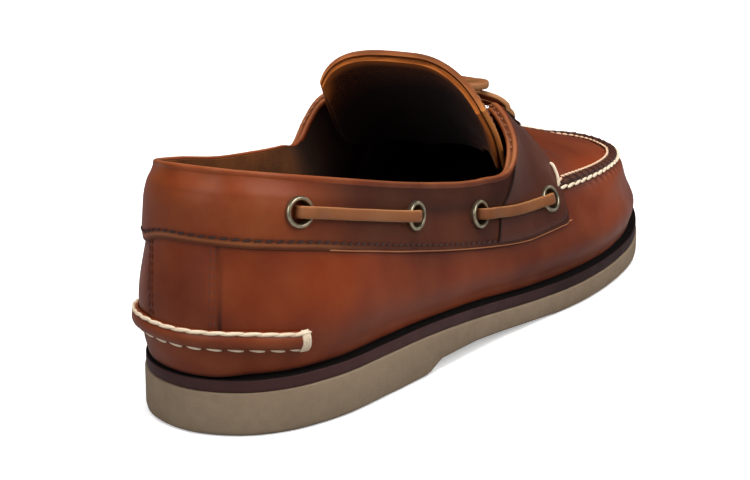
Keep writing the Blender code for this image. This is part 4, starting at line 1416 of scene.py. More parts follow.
@dataclass
class QuarterBand:
    """The band round the quarters with its eyestays, and the folded collar edge.

    Of stay_edges only the lower edge is read, since the eyestays end at the band's upper edge.
    """

    edges: tuple[BandEdge, ...] = table(
        BandEdge,
        (0.000, 0.370, 0.970),
        (0.150, 0.366),
        (0.250, 0.358),
        (0.373, 0.340),
        (0.482, 0.330),
        (0.528, 0.344),
        (0.552, 0.352),
        (0.559, 0.357),
        (0.5606, 0.375),
        (0.5610, 0.400),
        (0.5618, 0.545),
        (0.5645, 0.575),
        (0.5730, 0.620),
        (0.5795, 0.660),
        (0.5845, 0.705),
        (0.5885, 0.760),
        (0.602, 0.800),
        (0.620, 0.850),
        (0.640, 0.930),
    )
    stay_edges: tuple[BandEdge, ...] = table(
        BandEdge,
        (0.430, 0.330),
        (0.482, 0.330),
        (0.528, 0.346),
        (0.545, 0.356),
        (0.5530, 0.372),
        (0.5562, 0.400),
        (0.5572, 0.440),
        (0.5580, 0.510),
        (0.5620, 0.550),
        (0.5715, 0.597),
        (0.5780, 0.637),
        (0.5832, 0.683),
        (0.5872, 0.742),
        (0.602, 0.792),
        (0.620, 0.845),
        (0.640, 0.935),
    )
    front: float = 0.640
    thick: float = 1.5
    stay_thick: float = 0.4
    stay_rear: float = 0.412
    stay_lean: float = 0.050
    stay_above: float = 1.6
    medial_drop: float = 0.034
    stitch_up: float = 1.75
    collar_wide: float = 1.5
    collar_proud: float = 0.75
    collar_inner: float = 1.15

    def ends(self, along: float) -> tuple[float, float]:
        """Turns of a strip that runs round the heel from the inner to the outer side."""
        return LAST.turn_at(along, Side.MEDIAL) - 1, LAST.turn_at(along, Side.LATERAL)

    def low(self, turn: Array) -> Array:
        """Climb of the band's lower edge, which dips at the inner side of the heel."""
        along = LAST.along_at(turn)
        inner = np.mod(turn, 1.0) > 0.5
        dip = self.medial_drop * inner * smooth_step(0.0, 0.03, along) * (1 - smooth_step(0.1, 0.3, along))
        return edge_at(self.edges, "low", along) - dip

    def high(self, turn: Array) -> Array:
        """Climb of the band's upper edge."""
        return edge_at(self.edges, "high", LAST.along_at(turn))

    def seat(self, turn: Array) -> Array:
        """How far the band's back lies off the shell."""
        return 0.14 + 0.35 * smooth_step(0.46, 0.54, LAST.along_at(turn))

    def top(self, turn: Array) -> Array:
        """How far the band's face lies off the last."""
        return self.seat(turn) + self.thick

    def above_edge(self, turn: Array, climb: Array) -> Array:
        """Distance in millimetres up from the lower edge."""
        return (climb - self.low(turn)) / LAST.climb_step(turn, 0.45, 1.0)

    def relief(self, turn: Array, climb: Array, share: Array) -> Array:
        """A pressed stitch line, a folded top and a soft crown between them."""
        up = self.above_edge(turn, climb)
        press = -0.3 * bump_at(up, self.stitch_up, 0.5)
        crown = 0.12 * np.sin(math.pi * share)
        fold = (self.top(turn) - self.collar_proud + 0.15) * smooth_step(0.55, 1.0, share)
        fold = fold * (1 - self.rising(turn))
        return press + crown - 0.75 * (1 - smooth_step(0.0, 1.5, up)) - fold

    def rising(self, turn: Array) -> Array:
        """0 along the collar, 1 where the edge rises as the eyestay."""
        return smooth_step(0.425, 0.475, LAST.along_at(turn))

    def strip(self) -> Strip:
        """The band itself."""
        return Strip(
            turns=self.ends(self.front),
            low=self.low,
            high=self.high,
            base=self.seat,
            thick=self.thick,
            columns=760,
            rows=64,
            relief=self.relief,
            edge=0.35,
        )

    def marks(self) -> Marks:
        """Bare cut edge below, painted highlights on the lower roll and the upper fold, painted shade along
        the stitches, the lower edge and the middle.
        """

        def raw(at: Spot) -> Array:
            """The cut lower edge."""
            return ((at.share <= 0) & (at.face < 0.9) & (at.face > 0.0)) * 0.75

        def worn(at: Spot) -> Array:
            """Painted highlights on the roll above the lower edge and on the upper fold."""
            ridge = 0.85 * bump_at(self.above_edge(at.turn, at.climb), 0.75, 0.35)
            ridge = ridge * (1 - 0.9 * smooth_step(0.1, 0.2, LAST.along_at(at.turn)))
            return ridge + 0.35 * smooth_step(0.965, 1.0, at.share)

        def dark(at: Spot) -> Array:
            """Painted shade: the pressed line under the stitches, a line along the lower edge and the darker
            middle of the band.
            """
            up = self.above_edge(at.turn, at.climb)
            # painted shade over the middle of the band
            band_shade = smooth_step(0.04, 0.15, LAST.along_at(at.turn))
            band_shade = band_shade * (0.55 + 0.2 * smooth_step(0.25, 0.5, at.share)) * (up > 0.4)
            seam = 0.55 * bump_at(up, self.stitch_up, 0.4) + 0.6 * bump_at(up, -0.1, 0.35)
            return np.maximum(seam, band_shade)

        return {"raw": raw, "worn": worn, "dark": dark}

    def eyestay(self, side: Side) -> Strip:
        """The overlay at the front of the band on one side, its darker, purplish leather a painted shade and
        reflection.
        """
        turns = (LAST.turn_at(self.stay_rear, side), LAST.turn_at(self.front - 0.003, side))
        if side is Side.MEDIAL:
            turns = (turns[1], turns[0])

        def low(turn: Array) -> Array:
            """Lower edge, a little above the band's."""
            edge = edge_at(self.stay_edges, "low", LAST.along_at(turn))
            return np.minimum(edge + LAST.climb_step(turn, 0.45, self.stay_above), self.high(turn) - 0.02)

        def base(turn: Array) -> Array:
            """The band's face."""
            return self.top(turn) + 0.05

        def crown(turn: Array, climb: Array, share: Array) -> Array:
            """The crown of the band below, and thinner edges."""
            ends = np.minimum(turn - turns[0], turns[1] - turn) / 0.003
            return 0.12 - 0.2 * (1 - smooth_step(0, 0.04, share)) - 0.2 * (1 - np.clip(ends, 0, 1))

        lean = self.stay_lean * (turns[1] - turns[0]) / abs(self.front - self.stay_rear) * side.sign * -1
        return Strip(
            turns=turns,
            low=low,
            high=self.high,
            base=base,
            thick=self.stay_thick,
            columns=240,
            rows=48,
            relief=crown,
            edge=0.12,
            lean=lean,
        )

    def stitches(self) -> None:
        """The row along the lower edge, and the rows on the eyestays."""
        first, last = self.ends(0.412)
        turns = np.linspace(first, last, 260)
        up = LAST.climb_step(turns, 0.45, self.stitch_up)
        line = LAST.line(turns, self.low(turns) + up, self.top(turns) - 0.2)
        row = Stitching(pitch=3.4, length=2.6, wide=0.85, high=0.6, slant=12.0)
        add_piece("band_stitches", row.sew(*line), DARK_THREAD, ["quarter_band"])
        for side in Side:
            self.stay_stitches(side)

    def stay_stitches(self, side: Side) -> None:
        """The rows on one eyestay: along its lower edge and in the groove of its rising edge."""
        alongs = np.linspace(self.stay_rear + 0.006, 0.55, 90)
        turns = LAST.turns_at(alongs, side)
        up = LAST.climb_step(turns, 0.45, self.stay_above + 1.7)
        climbs, off = self.low(turns) + up, self.top(turns) + self.stay_thick - 0.12
        bm = Stitching(pitch=2.9, length=2.0, wide=0.6, high=0.45).sew(*LAST.line(turns, climbs, off))
        add_piece(f"eyestay_stitches_{side.word}", bm, DARK_THREAD, ["quarter_band"])
        alongs = np.linspace(0.478, 0.60, 90)
        turns = LAST.turns_at(alongs, side)
        middle, rise, out, up, _, centre = self.collar_frame(turns)
        points = middle + rise * (up / 2 + 0.62)[:, None] + out * (centre - 0.1)[:, None]
        bm = Stitching(pitch=2.9, length=2.0, wide=0.55, high=0.45).sew(points, rise)
        add_piece(f"edge_stitches_{side.word}", bm, BROWN_THREAD, ["quarter_band"])

    def collar_ring(self) -> BMesh:
        """The folded binding over the rim, all round the foot opening."""

        def place(u: Array, v: Array) -> Array:
            """Points of the binding."""
            angle = 2 * math.pi * v
            middle, rise, out, up, depth, centre = self.collar_frame(u)
            wide = swollen(np.sin(angle), 0.8)
            thick = swollen(np.cos(angle), 0.7)
            groove = 0.75 * self.rising(u) * np.clip(np.sin(angle), 0, 1) * bump_at(thick, -0.05, 0.3)
            shift = (up / 2 + 0.55) * wide - groove
            return middle + rise * shift[:, None] + out * (centre + depth * thick)[:, None]

        def worn(u: Array, v: Array) -> Array:
            """Painted highlight on the crest of the fold."""
            crest = np.clip(np.sin(2 * math.pi * v), 0, 1) ** 2
            return 0.05 + (0.38 + 0.4 * self.rising(u)) * crest

        def dark(u: Array, v: Array) -> Array:
            """Painted shade in the sewn groove."""
            angle = 2 * math.pi * v
            return 0.7 * self.rising(u) * (np.sin(angle) > 0) * bump_at(np.cos(angle), -0.05, 0.2)

        return bend_grid(560, 36, place, {"worn": worn, "dark": dark})

    def collar_frame(self, turn: Array) -> tuple[Array, ...]:
        """Where the fold lies at each turn.

        Args:
            turn: Turns round the foot opening.

        Returns:
            The middle, the directions up and out, the width, half the depth and the depth's middle.
        """
        along, full = LAST.along_at(turn), np.ones(turn.shape)
        up = self.collar_wide * (1 - 0.35 * smooth_step(0.6, 0.7, along))
        middle = LAST.point(turn, 1.0 - LAST.climb_step(turn, 0.96 * full, up * 0.5))
        rise = unit(LAST.point(turn, full) - LAST.point(turn, 0.93 * full))
        rising = self.rising(turn) * (1 - smooth_step(0.64, 0.68, along))
        outer = self.collar_proud + (self.top(turn) + 0.2 - self.collar_proud) * rising
        inner = self.collar_inner + 0.85 * rising
        return middle, rise, LAST.normal(turn, 0.97 * full), up, (outer + inner) / 2, (outer - inner) / 2

    def build(self, drill: bpy.types.Object) -> None:
        """Make the band, its eyestays, edges and stitches."""
        bm = self.strip().build(self.marks())
        band = add_piece("band", bm, BAND_LEATHER, ["quarter_band"])
        cut_through(band, drill)
        for side in Side:

            def rear(u: Array, v: Array, side: Side = side) -> Array:
                """The shaded rear end."""
                return 0.95 * (1 - smooth_step(0.0, 0.02, u if side is Side.LATERAL else 1 - u))

            name, strip = f"eyestay_{side.word}", self.eyestay(side)
            bm = bend_grid(strip.columns, strip.rows, strip.place, {"dark": rear})
            stay = add_piece(name, bm, EYESTAY_LEATHER, ["quarter_band"])
            cut_through(stay, drill)
            self.cut_edge(side)
        add_piece("collar_binding", self.collar_ring(), BAND_LEATHER, ["upper"])
        self.stitches()

    def cut_edge(self, side: Side) -> None:
        """The pale cut edge under the front of the band, on one side."""
        alongs = np.concatenate([np.linspace(0.10, 0.5605, 100), np.linspace(0.5615, 0.5672, 8)])
        turns = LAST.turns_at(alongs, side)
        below = LAST.climb_step(turns, 0.4, 0.15)
        climbs, off = np.minimum(self.low(turns), 0.368) - below, self.seat(turns) + 0.55
        bm = Tube(*LAST.line(turns, climbs, off), wide=0.6, thick=0.6, square=1.0, sides=8).build()
        add_piece(f"band_cut_edge_{side.word}", bm, CUT_LEATHER, ["quarter_band"])


def cut_through(piece: bpy.types.Object, drill: bpy.types.Object) -> None:
    """Cut the drill's shape out of a piece and keep the result as its mesh."""
    cut = piece.modifiers.new("hole", "BOOLEAN")
    cut.operation = "DIFFERENCE"
    cut.solver = "EXACT"
    cut.object = drill
    graph = bpy.context.evaluated_depsgraph_get()
    mesh = bpy.data.meshes.new_from_object(piece.evaluated_get(graph))
    old = piece.data
    piece.modifiers.clear()
    piece.data = mesh
    bpy.data.meshes.remove(old)


# ---- moccasin seam
@dataclass
class MocSeam:
    """The gathered ridge round the toe, with its two rows of thread."""

    start: float = 0.558
    wide: float = 3.7
    high: float = 1.75
    stitch_pitch: float = 5.4
    inner_pitch: float = 3.2

    def turns(self) -> tuple[float, float]:
        """Turns of the ridge's ends."""
        return LAST.turn_at(self.start, Side.LATERAL), LAST.turn_at(self.start, Side.MEDIAL)

    def across(self, turn: Array, share: float | Array) -> Array:
        """Climb at a share of the ridge's width at each turn."""
        first, last = self.turns()
        ends = np.clip(np.minimum(turn - first, last - turn) / 0.012, 0.35, 1)
        wide = LAST.climb_step(turn, LAST.line_climb, self.wide)
        return LAST.line_climb + wide * ends * share

    def relief(self, turn: Array, climb: Array, share: Array) -> Array:
        """A round ridge pulled in by each stitch."""
        first, last = self.turns()
        ends = smooth_step(0.0, 0.022, np.minimum(turn - first, last - turn))
        turn = np.mod(turn, 1.0)
        low = 0.45 * smooth_step(0.45, 0.5, turn) * (1 - smooth_step(0.62, 0.7, turn))
        crown = self.high * (1 - low) * arch(share, 0.75) * (0.25 + 0.75 * ends)
        run = UPPER.line_run(turn)
        fine = np.sin(run * 3.1) * np.sin(run * 1.27 + 1.0)
        return crown * (0.88 + 0.12 * self.wave(turn)) + 0.12 * fine * bump_at(share, 0.5, 0.3)

    def wave(self, turn: Array) -> Array:
        """0 in a pleat, 1 on a gather."""
        run = UPPER.line_run(np.mod(turn, 1.0))
        return 0.5 + 0.5 * np.cos(2 * math.pi * run / self.stitch_pitch)

    def marks(self) -> Marks:
        """Painted shade in the pleats, painted highlights on the crests."""

        def dark(at: Spot) -> Array:
            """Painted shade in the pleats and along the ridge's lower edge."""
            return 0.6 * (1 - self.wave(at.turn)) ** 2 + 0.3 * bump_at(at.share, 0.0, 0.12)

        def worn(at: Spot) -> Array:
            """Painted highlights on the crests."""
            return 0.3 * self.wave(at.turn) * bump_at(at.share, 0.6, 0.25)

        return {"dark": dark, "worn": worn}

    def build(self) -> None:
        """Make the ridge and its threads."""
        first, last = self.turns()
        strip = Strip(
            turns=(first, last),
            low=lambda turn: self.across(turn, -0.1),
            high=lambda turn: self.across(turn, 0.9),
            base=0.12,
            thick=0.35,
            columns=640,
            rows=26,
            relief=self.relief,
            edge=0.15,
        )
        add_piece("toe_ridge", strip.build(self.marks()), RIDGE_LEATHER, ["moc_ridge"])
        tuck = 0.002
        turns = np.linspace(first + tuck, last - tuck, 900)
        outer = Stitching(pitch=self.stitch_pitch, length=6.2, wide=1.3, high=1.35, slant=8.0)
        inner = Stitching(pitch=self.inner_pitch, length=3.1, wide=1.05, high=0.95, slant=-6.0)
        for name, share, off, row, thread in (
            ("ridge_stitches", -0.14, 0.95, outer, CREAM_THREAD),
            ("apron_stitches", 0.98, 0.42, inner, PINK_THREAD),
        ):
            bm = row.sew(*LAST.line(turns, self.across(turns, share), off))
            add_piece(name, bm, thread, ["moc_ridge"])
        self.thread_tail()

    def thread_tail(self) -> None:
        """The end of the cream thread, laid against the eyestay's front edge."""
        alongs = (0.5700, 0.5688, 0.5672, 0.5650, 0.5628, 0.5590, 0.5560)
        climbs = np.array([0.652, 0.645, 0.633, 0.617, 0.600, 0.577, 0.560])
        turns = LAST.turns_at(alongs, Side.LATERAL)
        points = LAST.skin(turns, climbs, np.array([2.4, 3.0, 3.1, 3.1, 3.0, 2.8, 2.2]))
        widths = np.tile(LAST.normal(turns[:1], climbs[:1])[0], (len(turns), 1))
        bm = Tube(points, widths, wide=1.25, thick=1.25, square=1.0, sides=10).build()
        add_piece("ridge_thread_tail", bm, CREAM_THREAD, ["moc_ridge"])


# ---- heel bar
@dataclass
class HeelBar:
    """The rolled leather bar round the heel, bound with thread."""

    low_z: float = 28.8
    high_z: float = 34.4
    end: float = 0.066
    droop: float = 2.0
    high: float = 2.2
    top_pitch: float = 5.2
    low_pitch: float = 6.4
    wraps: int = 3
    wrap_step: float = 0.011
    wrap_at: tuple[float, float] = (0.988, 0.012)

    def turns(self) -> Array:
        """Turns along the bar, from the inner to the outer side."""
        first, last = LAST.turn_at(self.end, Side.MEDIAL) - 1, LAST.turn_at(self.end, Side.LATERAL)
        return np.linspace(first, last, 160)

    def climbs(self, height: float) -> Array:
        """Climb at one height over the floor, less towards the ends, at each of the bar's turns."""
        turns = self.turns()
        fall = self.droop * smooth_step(0.008, self.end, LAST.along_at(turns))
        return np.array([LAST.climb_at_height(turn, height - low) for turn, low in zip(turns, fall)])

    def build(self) -> None:
        """Make the bar, its threads and the bound ends."""
        turns, low, high = self.turns(), self.climbs(self.low_z), self.climbs(self.high_z)
        strip = Strip(
            turns=(turns[0], turns[-1]),
            low=lambda turn: np.interp(turn, turns, low),
            high=lambda turn: np.interp(turn, turns, high),
            base=0.15,
            thick=0.5,
            columns=220,
            rows=28,
            relief=lambda turn, climb, share: self.high * arch(share, 0.7),
            edge=0.2,
        )
        add_piece("heel_bar", strip.build(), BAR_LEATHER, ["heel_kicker"])
        row = Stitching(pitch=self.top_pitch, length=7.6, wide=1.3, high=1.4, slant=5.0)
        self.sew("heel_bar_top_thread", self.climbs(self.high_z - 0.2), 1.25, row)
        row = Stitching(pitch=self.low_pitch, length=5.2, wide=1.15, high=1.1, slant=-6.0)
        self.sew("heel_bar_low_thread", self.climbs(self.low_z + 0.1), 1.0, row)
        for side in (Side.MEDIAL, Side.LATERAL):
            self.bind(side, self.wrap_at[side.value])

    def sew(self, name: str, climbs: Array, proud: float, row: Stitching) -> None:
        """Lay one row of thread along the bar."""
        turns = self.turns()
        fine = np.linspace(turns[0], turns[-1], 700)
        climb = np.interp(fine, turns, climbs)
        bm = row.sew(*LAST.line(fine, climb, proud))
        add_piece(name, bm, CREAM_THREAD, ["heel_kicker"])

    def bind(self, side: Side, place: float) -> None:
        """Wrap an end of the bar with turns of thread."""
        turns = self.turns()
        low, high = self.climbs(self.low_z - 0.6), self.climbs(self.high_z + 0.2)
        bm = bmesh.new()
        for step in range(self.wraps):
            share = place + (step - self.wraps // 2) * self.wrap_step
            turn = float(np.interp(share, np.linspace(0, 1, len(turns)), turns))
            bottom, top = (float(np.interp(turn, turns, row)) for row in (low, high))
            t = np.linspace(0, 1, 40)
            proud = 0.6 + 2.1 * np.sin(math.pi * t) ** 0.6
            points = LAST.skin(np.full(40, turn), bottom + (top - bottom) * t, proud)
            ahead = LAST.point(np.array([turn + 0.01]), 0.3)[0] - points[0]
            made = Tube(points, np.tile(ahead, (40, 1)), wide=1.3, thick=1.3, square=1.0, sides=8).build()
            close_up(made)
            mesh = mesh_of("turn", made)
            bm.from_mesh(mesh)
            bpy.data.meshes.remove(mesh)
        add_piece(f"heel_bar_binding_{side.word}", bm, CREAM_THREAD, ["heel_kicker"])


# ---- tongue
@dataclass(frozen=True)
class TongueSlice:
    """A cross line of the tongue."""

    mid_x: float
    mid_y: float
    mid_up: float
    lat_half: float
    med_half: float
    lat_drop: float
    med_drop: float
    edge_y: float


@dataclass
class Tongue:
    """Two layers of leather sewn together near their cut edge."""

    slices: tuple[TongueSlice, ...] = table(
        TongueSlice,
        (0.0, -37.5, 54.6, 12.0, 12.0, 2.2, 2.2, 0.0),
        (0.0, -29.0, 59.8, 17.0, 17.0, 4.4, 4.4, 0.5),
        (-0.4, -18.0, 67.6, 26.0, 24.0, 11.0, 11.0, 1.0),
        (-2.4, -5.0, 77.4, 33.4, 31.8, 22.6, 20.0, 3.0),
        (-5.8, 8.0, 87.4, 32.4, 35.4, 19.0, 16.5, 1.8),
        (-10.3, 20.6, 96.4, 25.9, 39.0, 17.2, 14.0, -3.6),
    )
    outer_thick: float = 1.8
    inner_thick: float = 1.6
    between: float = 0.35
    cut_back: float = 0.012
    reach: float = 70.0
    span: float = 55.0
    half: float = 33.0

    def point(self, climb: Array, across: Array) -> Array:
        """Outer face; climb 0 at the throat to 1 at the free edge, across -1 to 1."""
        row = curve_through(np.linspace(0, 1, len(self.slices)), sizes(self.slices), climb)
        mid_x, mid_y, mid_up, lat_half, med_half, lat_drop, med_drop, edge_y = row.T
        bend = np.abs(across) ** np.where(across > 0, 2.2 + 1.1 * smooth_step(0.55, 0.9, climb), 2.2)
        half = np.where(across < 0, lat_half, med_half)
        drop = np.where(across < 0, lat_drop, med_drop)
        x = LAST.axis_x + mid_x + half * across * (1.12 - 0.12 * bend)
        return np.column_stack([x, LAST.axis_y + mid_y + edge_y * bend, mid_up - drop * bend])

    def normal(self, climb: Array, across: Array) -> Array:
        """Direction out of the tongue's outer face."""
        step = 0.01
        above, below = np.minimum(climb + step, 1), np.maximum(climb - step, 0)
        right, left = np.minimum(across + step, 1), np.maximum(across - step, -1)
        up = self.point(above, across) - self.point(below, across)
        return unit(np.cross(self.point(climb, right) - self.point(climb, left), up))

    def layer(self, depth: float, thick: float, back: float) -> BMesh:
        """One layer, its front face at a depth, cut back from the tongue's edge."""

        def place(u: Array, v: Array) -> Array:
            """Points of the layer."""
            share, past, face = strip_ring(v, 0.42, 0.08)
            climb = u * (1 - back)
            across = (2 * share - 1) * (1 - back)
            sunk = -(depth + thick * (1 - face) / 2)[:, None]
            near = self.point(climb, across) + self.normal(climb, across) * sunk
            side = unit(self.point(climb, across + 0.01) - self.point(climb, across - 0.01))
            return near + side * (past * thick * 0.5)[:, None]

        def worn(u: Array, v: Array) -> Array:
            """Painted light towards the free edge."""
            share, _, face = strip_ring(v, 0.42, 0.08)
            edge = self.from_edge(u, share)
            inside = 0.95 * (1 - smooth_step(0.3, 5.0, edge))
            outside = 0.55 * (1 - smooth_step(0.0, 9.0, edge))
            return np.where(face < 0, inside, outside) * self.shown(u, share)

        def raw(u: Array, v: Array) -> Array:
            """The cut edge."""
            share, past, face = strip_ring(v, 0.42, 0.08)
            cut = (np.abs(past) > 0.3) | ((u > 0.9985) & (np.abs(face) < 0.95))
            return np.where(cut, 0.95 * self.shown(u, share), 0.0)

        def dark(u: Array, v: Array) -> Array:
            """Painted shade away from the edge, inside."""
            share, past, face = strip_ring(v, 0.42, 0.08)
            inner = (share > 0.5) * (1 - smooth_step(0.7, 0.95, u))
            deep = np.maximum(smooth_step(2.0, 21.0, self.from_edge(u, share)), inner)
            return np.where((face < 0) | (np.abs(past) > 0.3), 0.97 * deep, 0.0)

        return bend_grid(110, 150, place, {"worn": worn, "raw": raw, "dark": dark})

    def shown(self, climb: Array, share: Array) -> Array:
        """How much of the painted edge light and the cut edge shows: only near the top on the inner side."""
        return np.where(share > 0.5, smooth_step(0.85, 0.97, climb), smooth_step(0.2, 0.4, climb))

    def from_edge(self, climb: Array, share: Array) -> Array:
        """Distance from the free edge, in millimetres."""
        return np.minimum(np.minimum(share, 1 - share) * self.span, (1 - climb) * self.reach)

    def rim_line(self, inset: float, depth: float) -> tuple[Array, Array]:
        """A line that follows the free edge at a distance inside it."""
        t = np.linspace(0, 1, 500)
        corner, start, top = 0.28, 0.62, 1 - inset / self.reach
        climb = np.interp(t, (0, corner, 1 - corner, 1), (start, top, top, start))
        across = np.interp(t, (0, corner, 1 - corner, 1), (-1, -1, 1, 1)) * (1 - inset / self.half)
        out = self.normal(climb, across)
        return self.point(climb, across) - out * depth, out

    def build(self) -> None:
        """Make both layers and the seam between them."""
        bm = self.layer(0.0, self.outer_thick, 0.0)
        add_piece("tongue_face", bm, TONGUE_LEATHER, ["tongue"])
        bm = self.layer(self.outer_thick + self.between, self.inner_thick, self.cut_back)
        add_piece("tongue_back", bm, TONGUE_LINING, ["tongue"])
        points, normals = self.rim_line(3.0, 0.0)
        row = Stitching(pitch=3.4, length=2.5, wide=0.75, high=0.5)
        add_piece("tongue_stitches", row.sew(points, normals), BROWN_THREAD, ["tongue"])


# ---- eyelets
@dataclass(frozen=True)
class RingSize:
    """Sizes of a rolled ring; seat is the radius of leather that it needs, stand its extra lift."""

    outer: float
    hole: float
    rise: float
    seat: float
    stand: float


SIDE_RING = RingSize(4.9, 3.45, 1.2, 4.9, -0.3)
TIE_RING = RingSize(3.9, 2.45, 0.7, 4.0, 0.3)


@dataclass(frozen=True)
class Eyelet:
    """A metal ring in the band: its number, share of the length and climb."""

    number: int
    along: float
    climb: float
    size: RingSize = SIDE_RING

    @property
    def tie(self) -> bool:
        """Whether the ring holds the tie at the throat."""
        return self.size is TIE_RING

    def node(self, side: Side) -> str:
        """The CAD node's name."""
        return f"{'tie_' if self.tie else ''}eyelet_{side.word}_{self.number}"


@dataclass
class Eyelets:
    """Rolled metal rings set through the band."""

    rears: tuple[Eyelet, Eyelet] = (Eyelet(1, 0.0627, 0.564), Eyelet(1, 0.112, 0.571))
    others: tuple[Eyelet, ...] = (
        Eyelet(2, 0.2513, 0.582),
        Eyelet(3, 0.3828, 0.544),
        Eyelet(4, 0.5295, 0.519),
        Eyelet(1, 0.585, 0.925, TIE_RING),
        Eyelet(2, 0.625, 0.925, TIE_RING),
    )
    band_face: float = 1.9
    steps: int = 44

    def rows(self, side: Side) -> tuple[Eyelet, ...]:
        """The rings of one side, from the heel forwards."""
        return (self.rears[side.value], *self.others)

    def hole_at(self, row: Eyelet, side: Side) -> tuple[Array, Array]:
        """The middle of a hole on the last, and the direction out of the leather."""
        turn = np.array([LAST.turn_at(row.along, side)])
        return LAST.point(turn, row.climb)[0], LAST.normal(turn, row.climb)[0]

    def lift(self, row: Eyelet, side: Side) -> float:
        """How far the band rises above its own tangent plane under a ring."""
        centre, normal = self.hole_at(row, side)
        turns, climbs = np.meshgrid(
            np.linspace(-0.01, 0.01, 9) + LAST.turn_at(row.along, side),
            np.linspace(-0.11, 0.11, 9) + row.climb,
        )
        near = LAST.point(turns.ravel(), climbs.ravel()) - centre
        high = near @ normal
        across = np.linalg.norm(near - high[:, None] * normal, axis=1)
        hollow = max(0.0, float(high[across < row.size.seat + 0.4].max()))
        seat = 0.35 * float(smooth_step(0.46, 0.54, row.along))
        return hollow + row.size.stand + seat

    def place(self, row: Eyelet, side: Side) -> Matrix:
        """Where a ring stands, with Z out of the leather."""
        centre, normal = self.hole_at(row, side)
        off = self.band_face + GAP + self.lift(row, side)
        turned = Vector(normal).to_track_quat("Z", "Y").to_matrix().to_4x4()
        return Matrix.Translation(Vector(centre + normal * off)) @ turned

    def ring(self, size: RingSize, matrix: Matrix) -> BMesh:
        """Spin the ring's rolled section; it carries tarnish in its bore."""
        outer, hole, high = size.outer, size.hole, size.rise
        arc = np.radians(np.linspace(-8, 188, 15))
        middle, half = (outer + hole) / 2, (outer - hole) / 2
        top = [(middle + half * math.cos(a), high * 0.35 + high * 0.65 * math.sin(a)) for a in arc]
        profile = top + [(hole, -0.4), (hole + 0.05, -3.4), (hole + 0.45, -3.4), (hole + 0.5, -1.0)]
        profile += [(outer - 0.5, -1.0), (outer, -0.6)]
        bm = bmesh.new()
        layer = bm.verts.layers.float.new("dark")
        verts = []
        for radius, rise in profile:
            vert = bm.verts.new((radius, 0.0, rise))
            vert[layer] = 0.75 if rise < -0.2 or radius < hole + 0.25 else 0.0
            verts.append(vert)
        edges = [bm.edges.new((verts[i - 1], verts[i])) for i in range(len(verts))]
        bmesh.ops.spin(
            bm,
            geom=verts + edges,
            cent=(0, 0, 0),
            axis=(0, 0, 1),
            angle=2 * math.pi,
            steps=self.steps,
            use_merge=True,
        )
        bmesh.ops.transform(bm, matrix=matrix, verts=bm.verts)
        return bm

    def drill(self) -> bpy.types.Object:
        """One guide with a cutter for every hole."""
        bm = bmesh.new()
        for side in Side:
            for row in self.rows(side):
                bmesh.ops.create_cone(
                    bm,
                    cap_ends=True,
                    segments=24,
                    radius1=row.size.hole + 0.35,
                    radius2=row.size.hole + 0.35,
                    depth=6.4,
                    matrix=self.place(row, side) @ Matrix.Translation((0, 0, -0.2)),
                )
        bmesh.ops.scale(bm, vec=(MM, MM, MM), verts=bm.verts)
        drill = add_object("drill", mesh_of("drill", bm))
        drill.hide_render = True
        return drill

    def build(self) -> None:
        """Make every ring."""
        for side in Side:
            for row in self.rows(side):
                bm = self.ring(row.size, self.place(row, side))
                finish = ENAMEL if row.tie else BRASS
                add_piece("ring_" + row.node(side), bm, finish, [row.node(side)])


# ---- laces
@dataclass(frozen=True)
class Stop:
    """A place that a lace passes, measured from the shoe's axis, x towards the lace's own side."""

    x: float
    y: float
    z: float


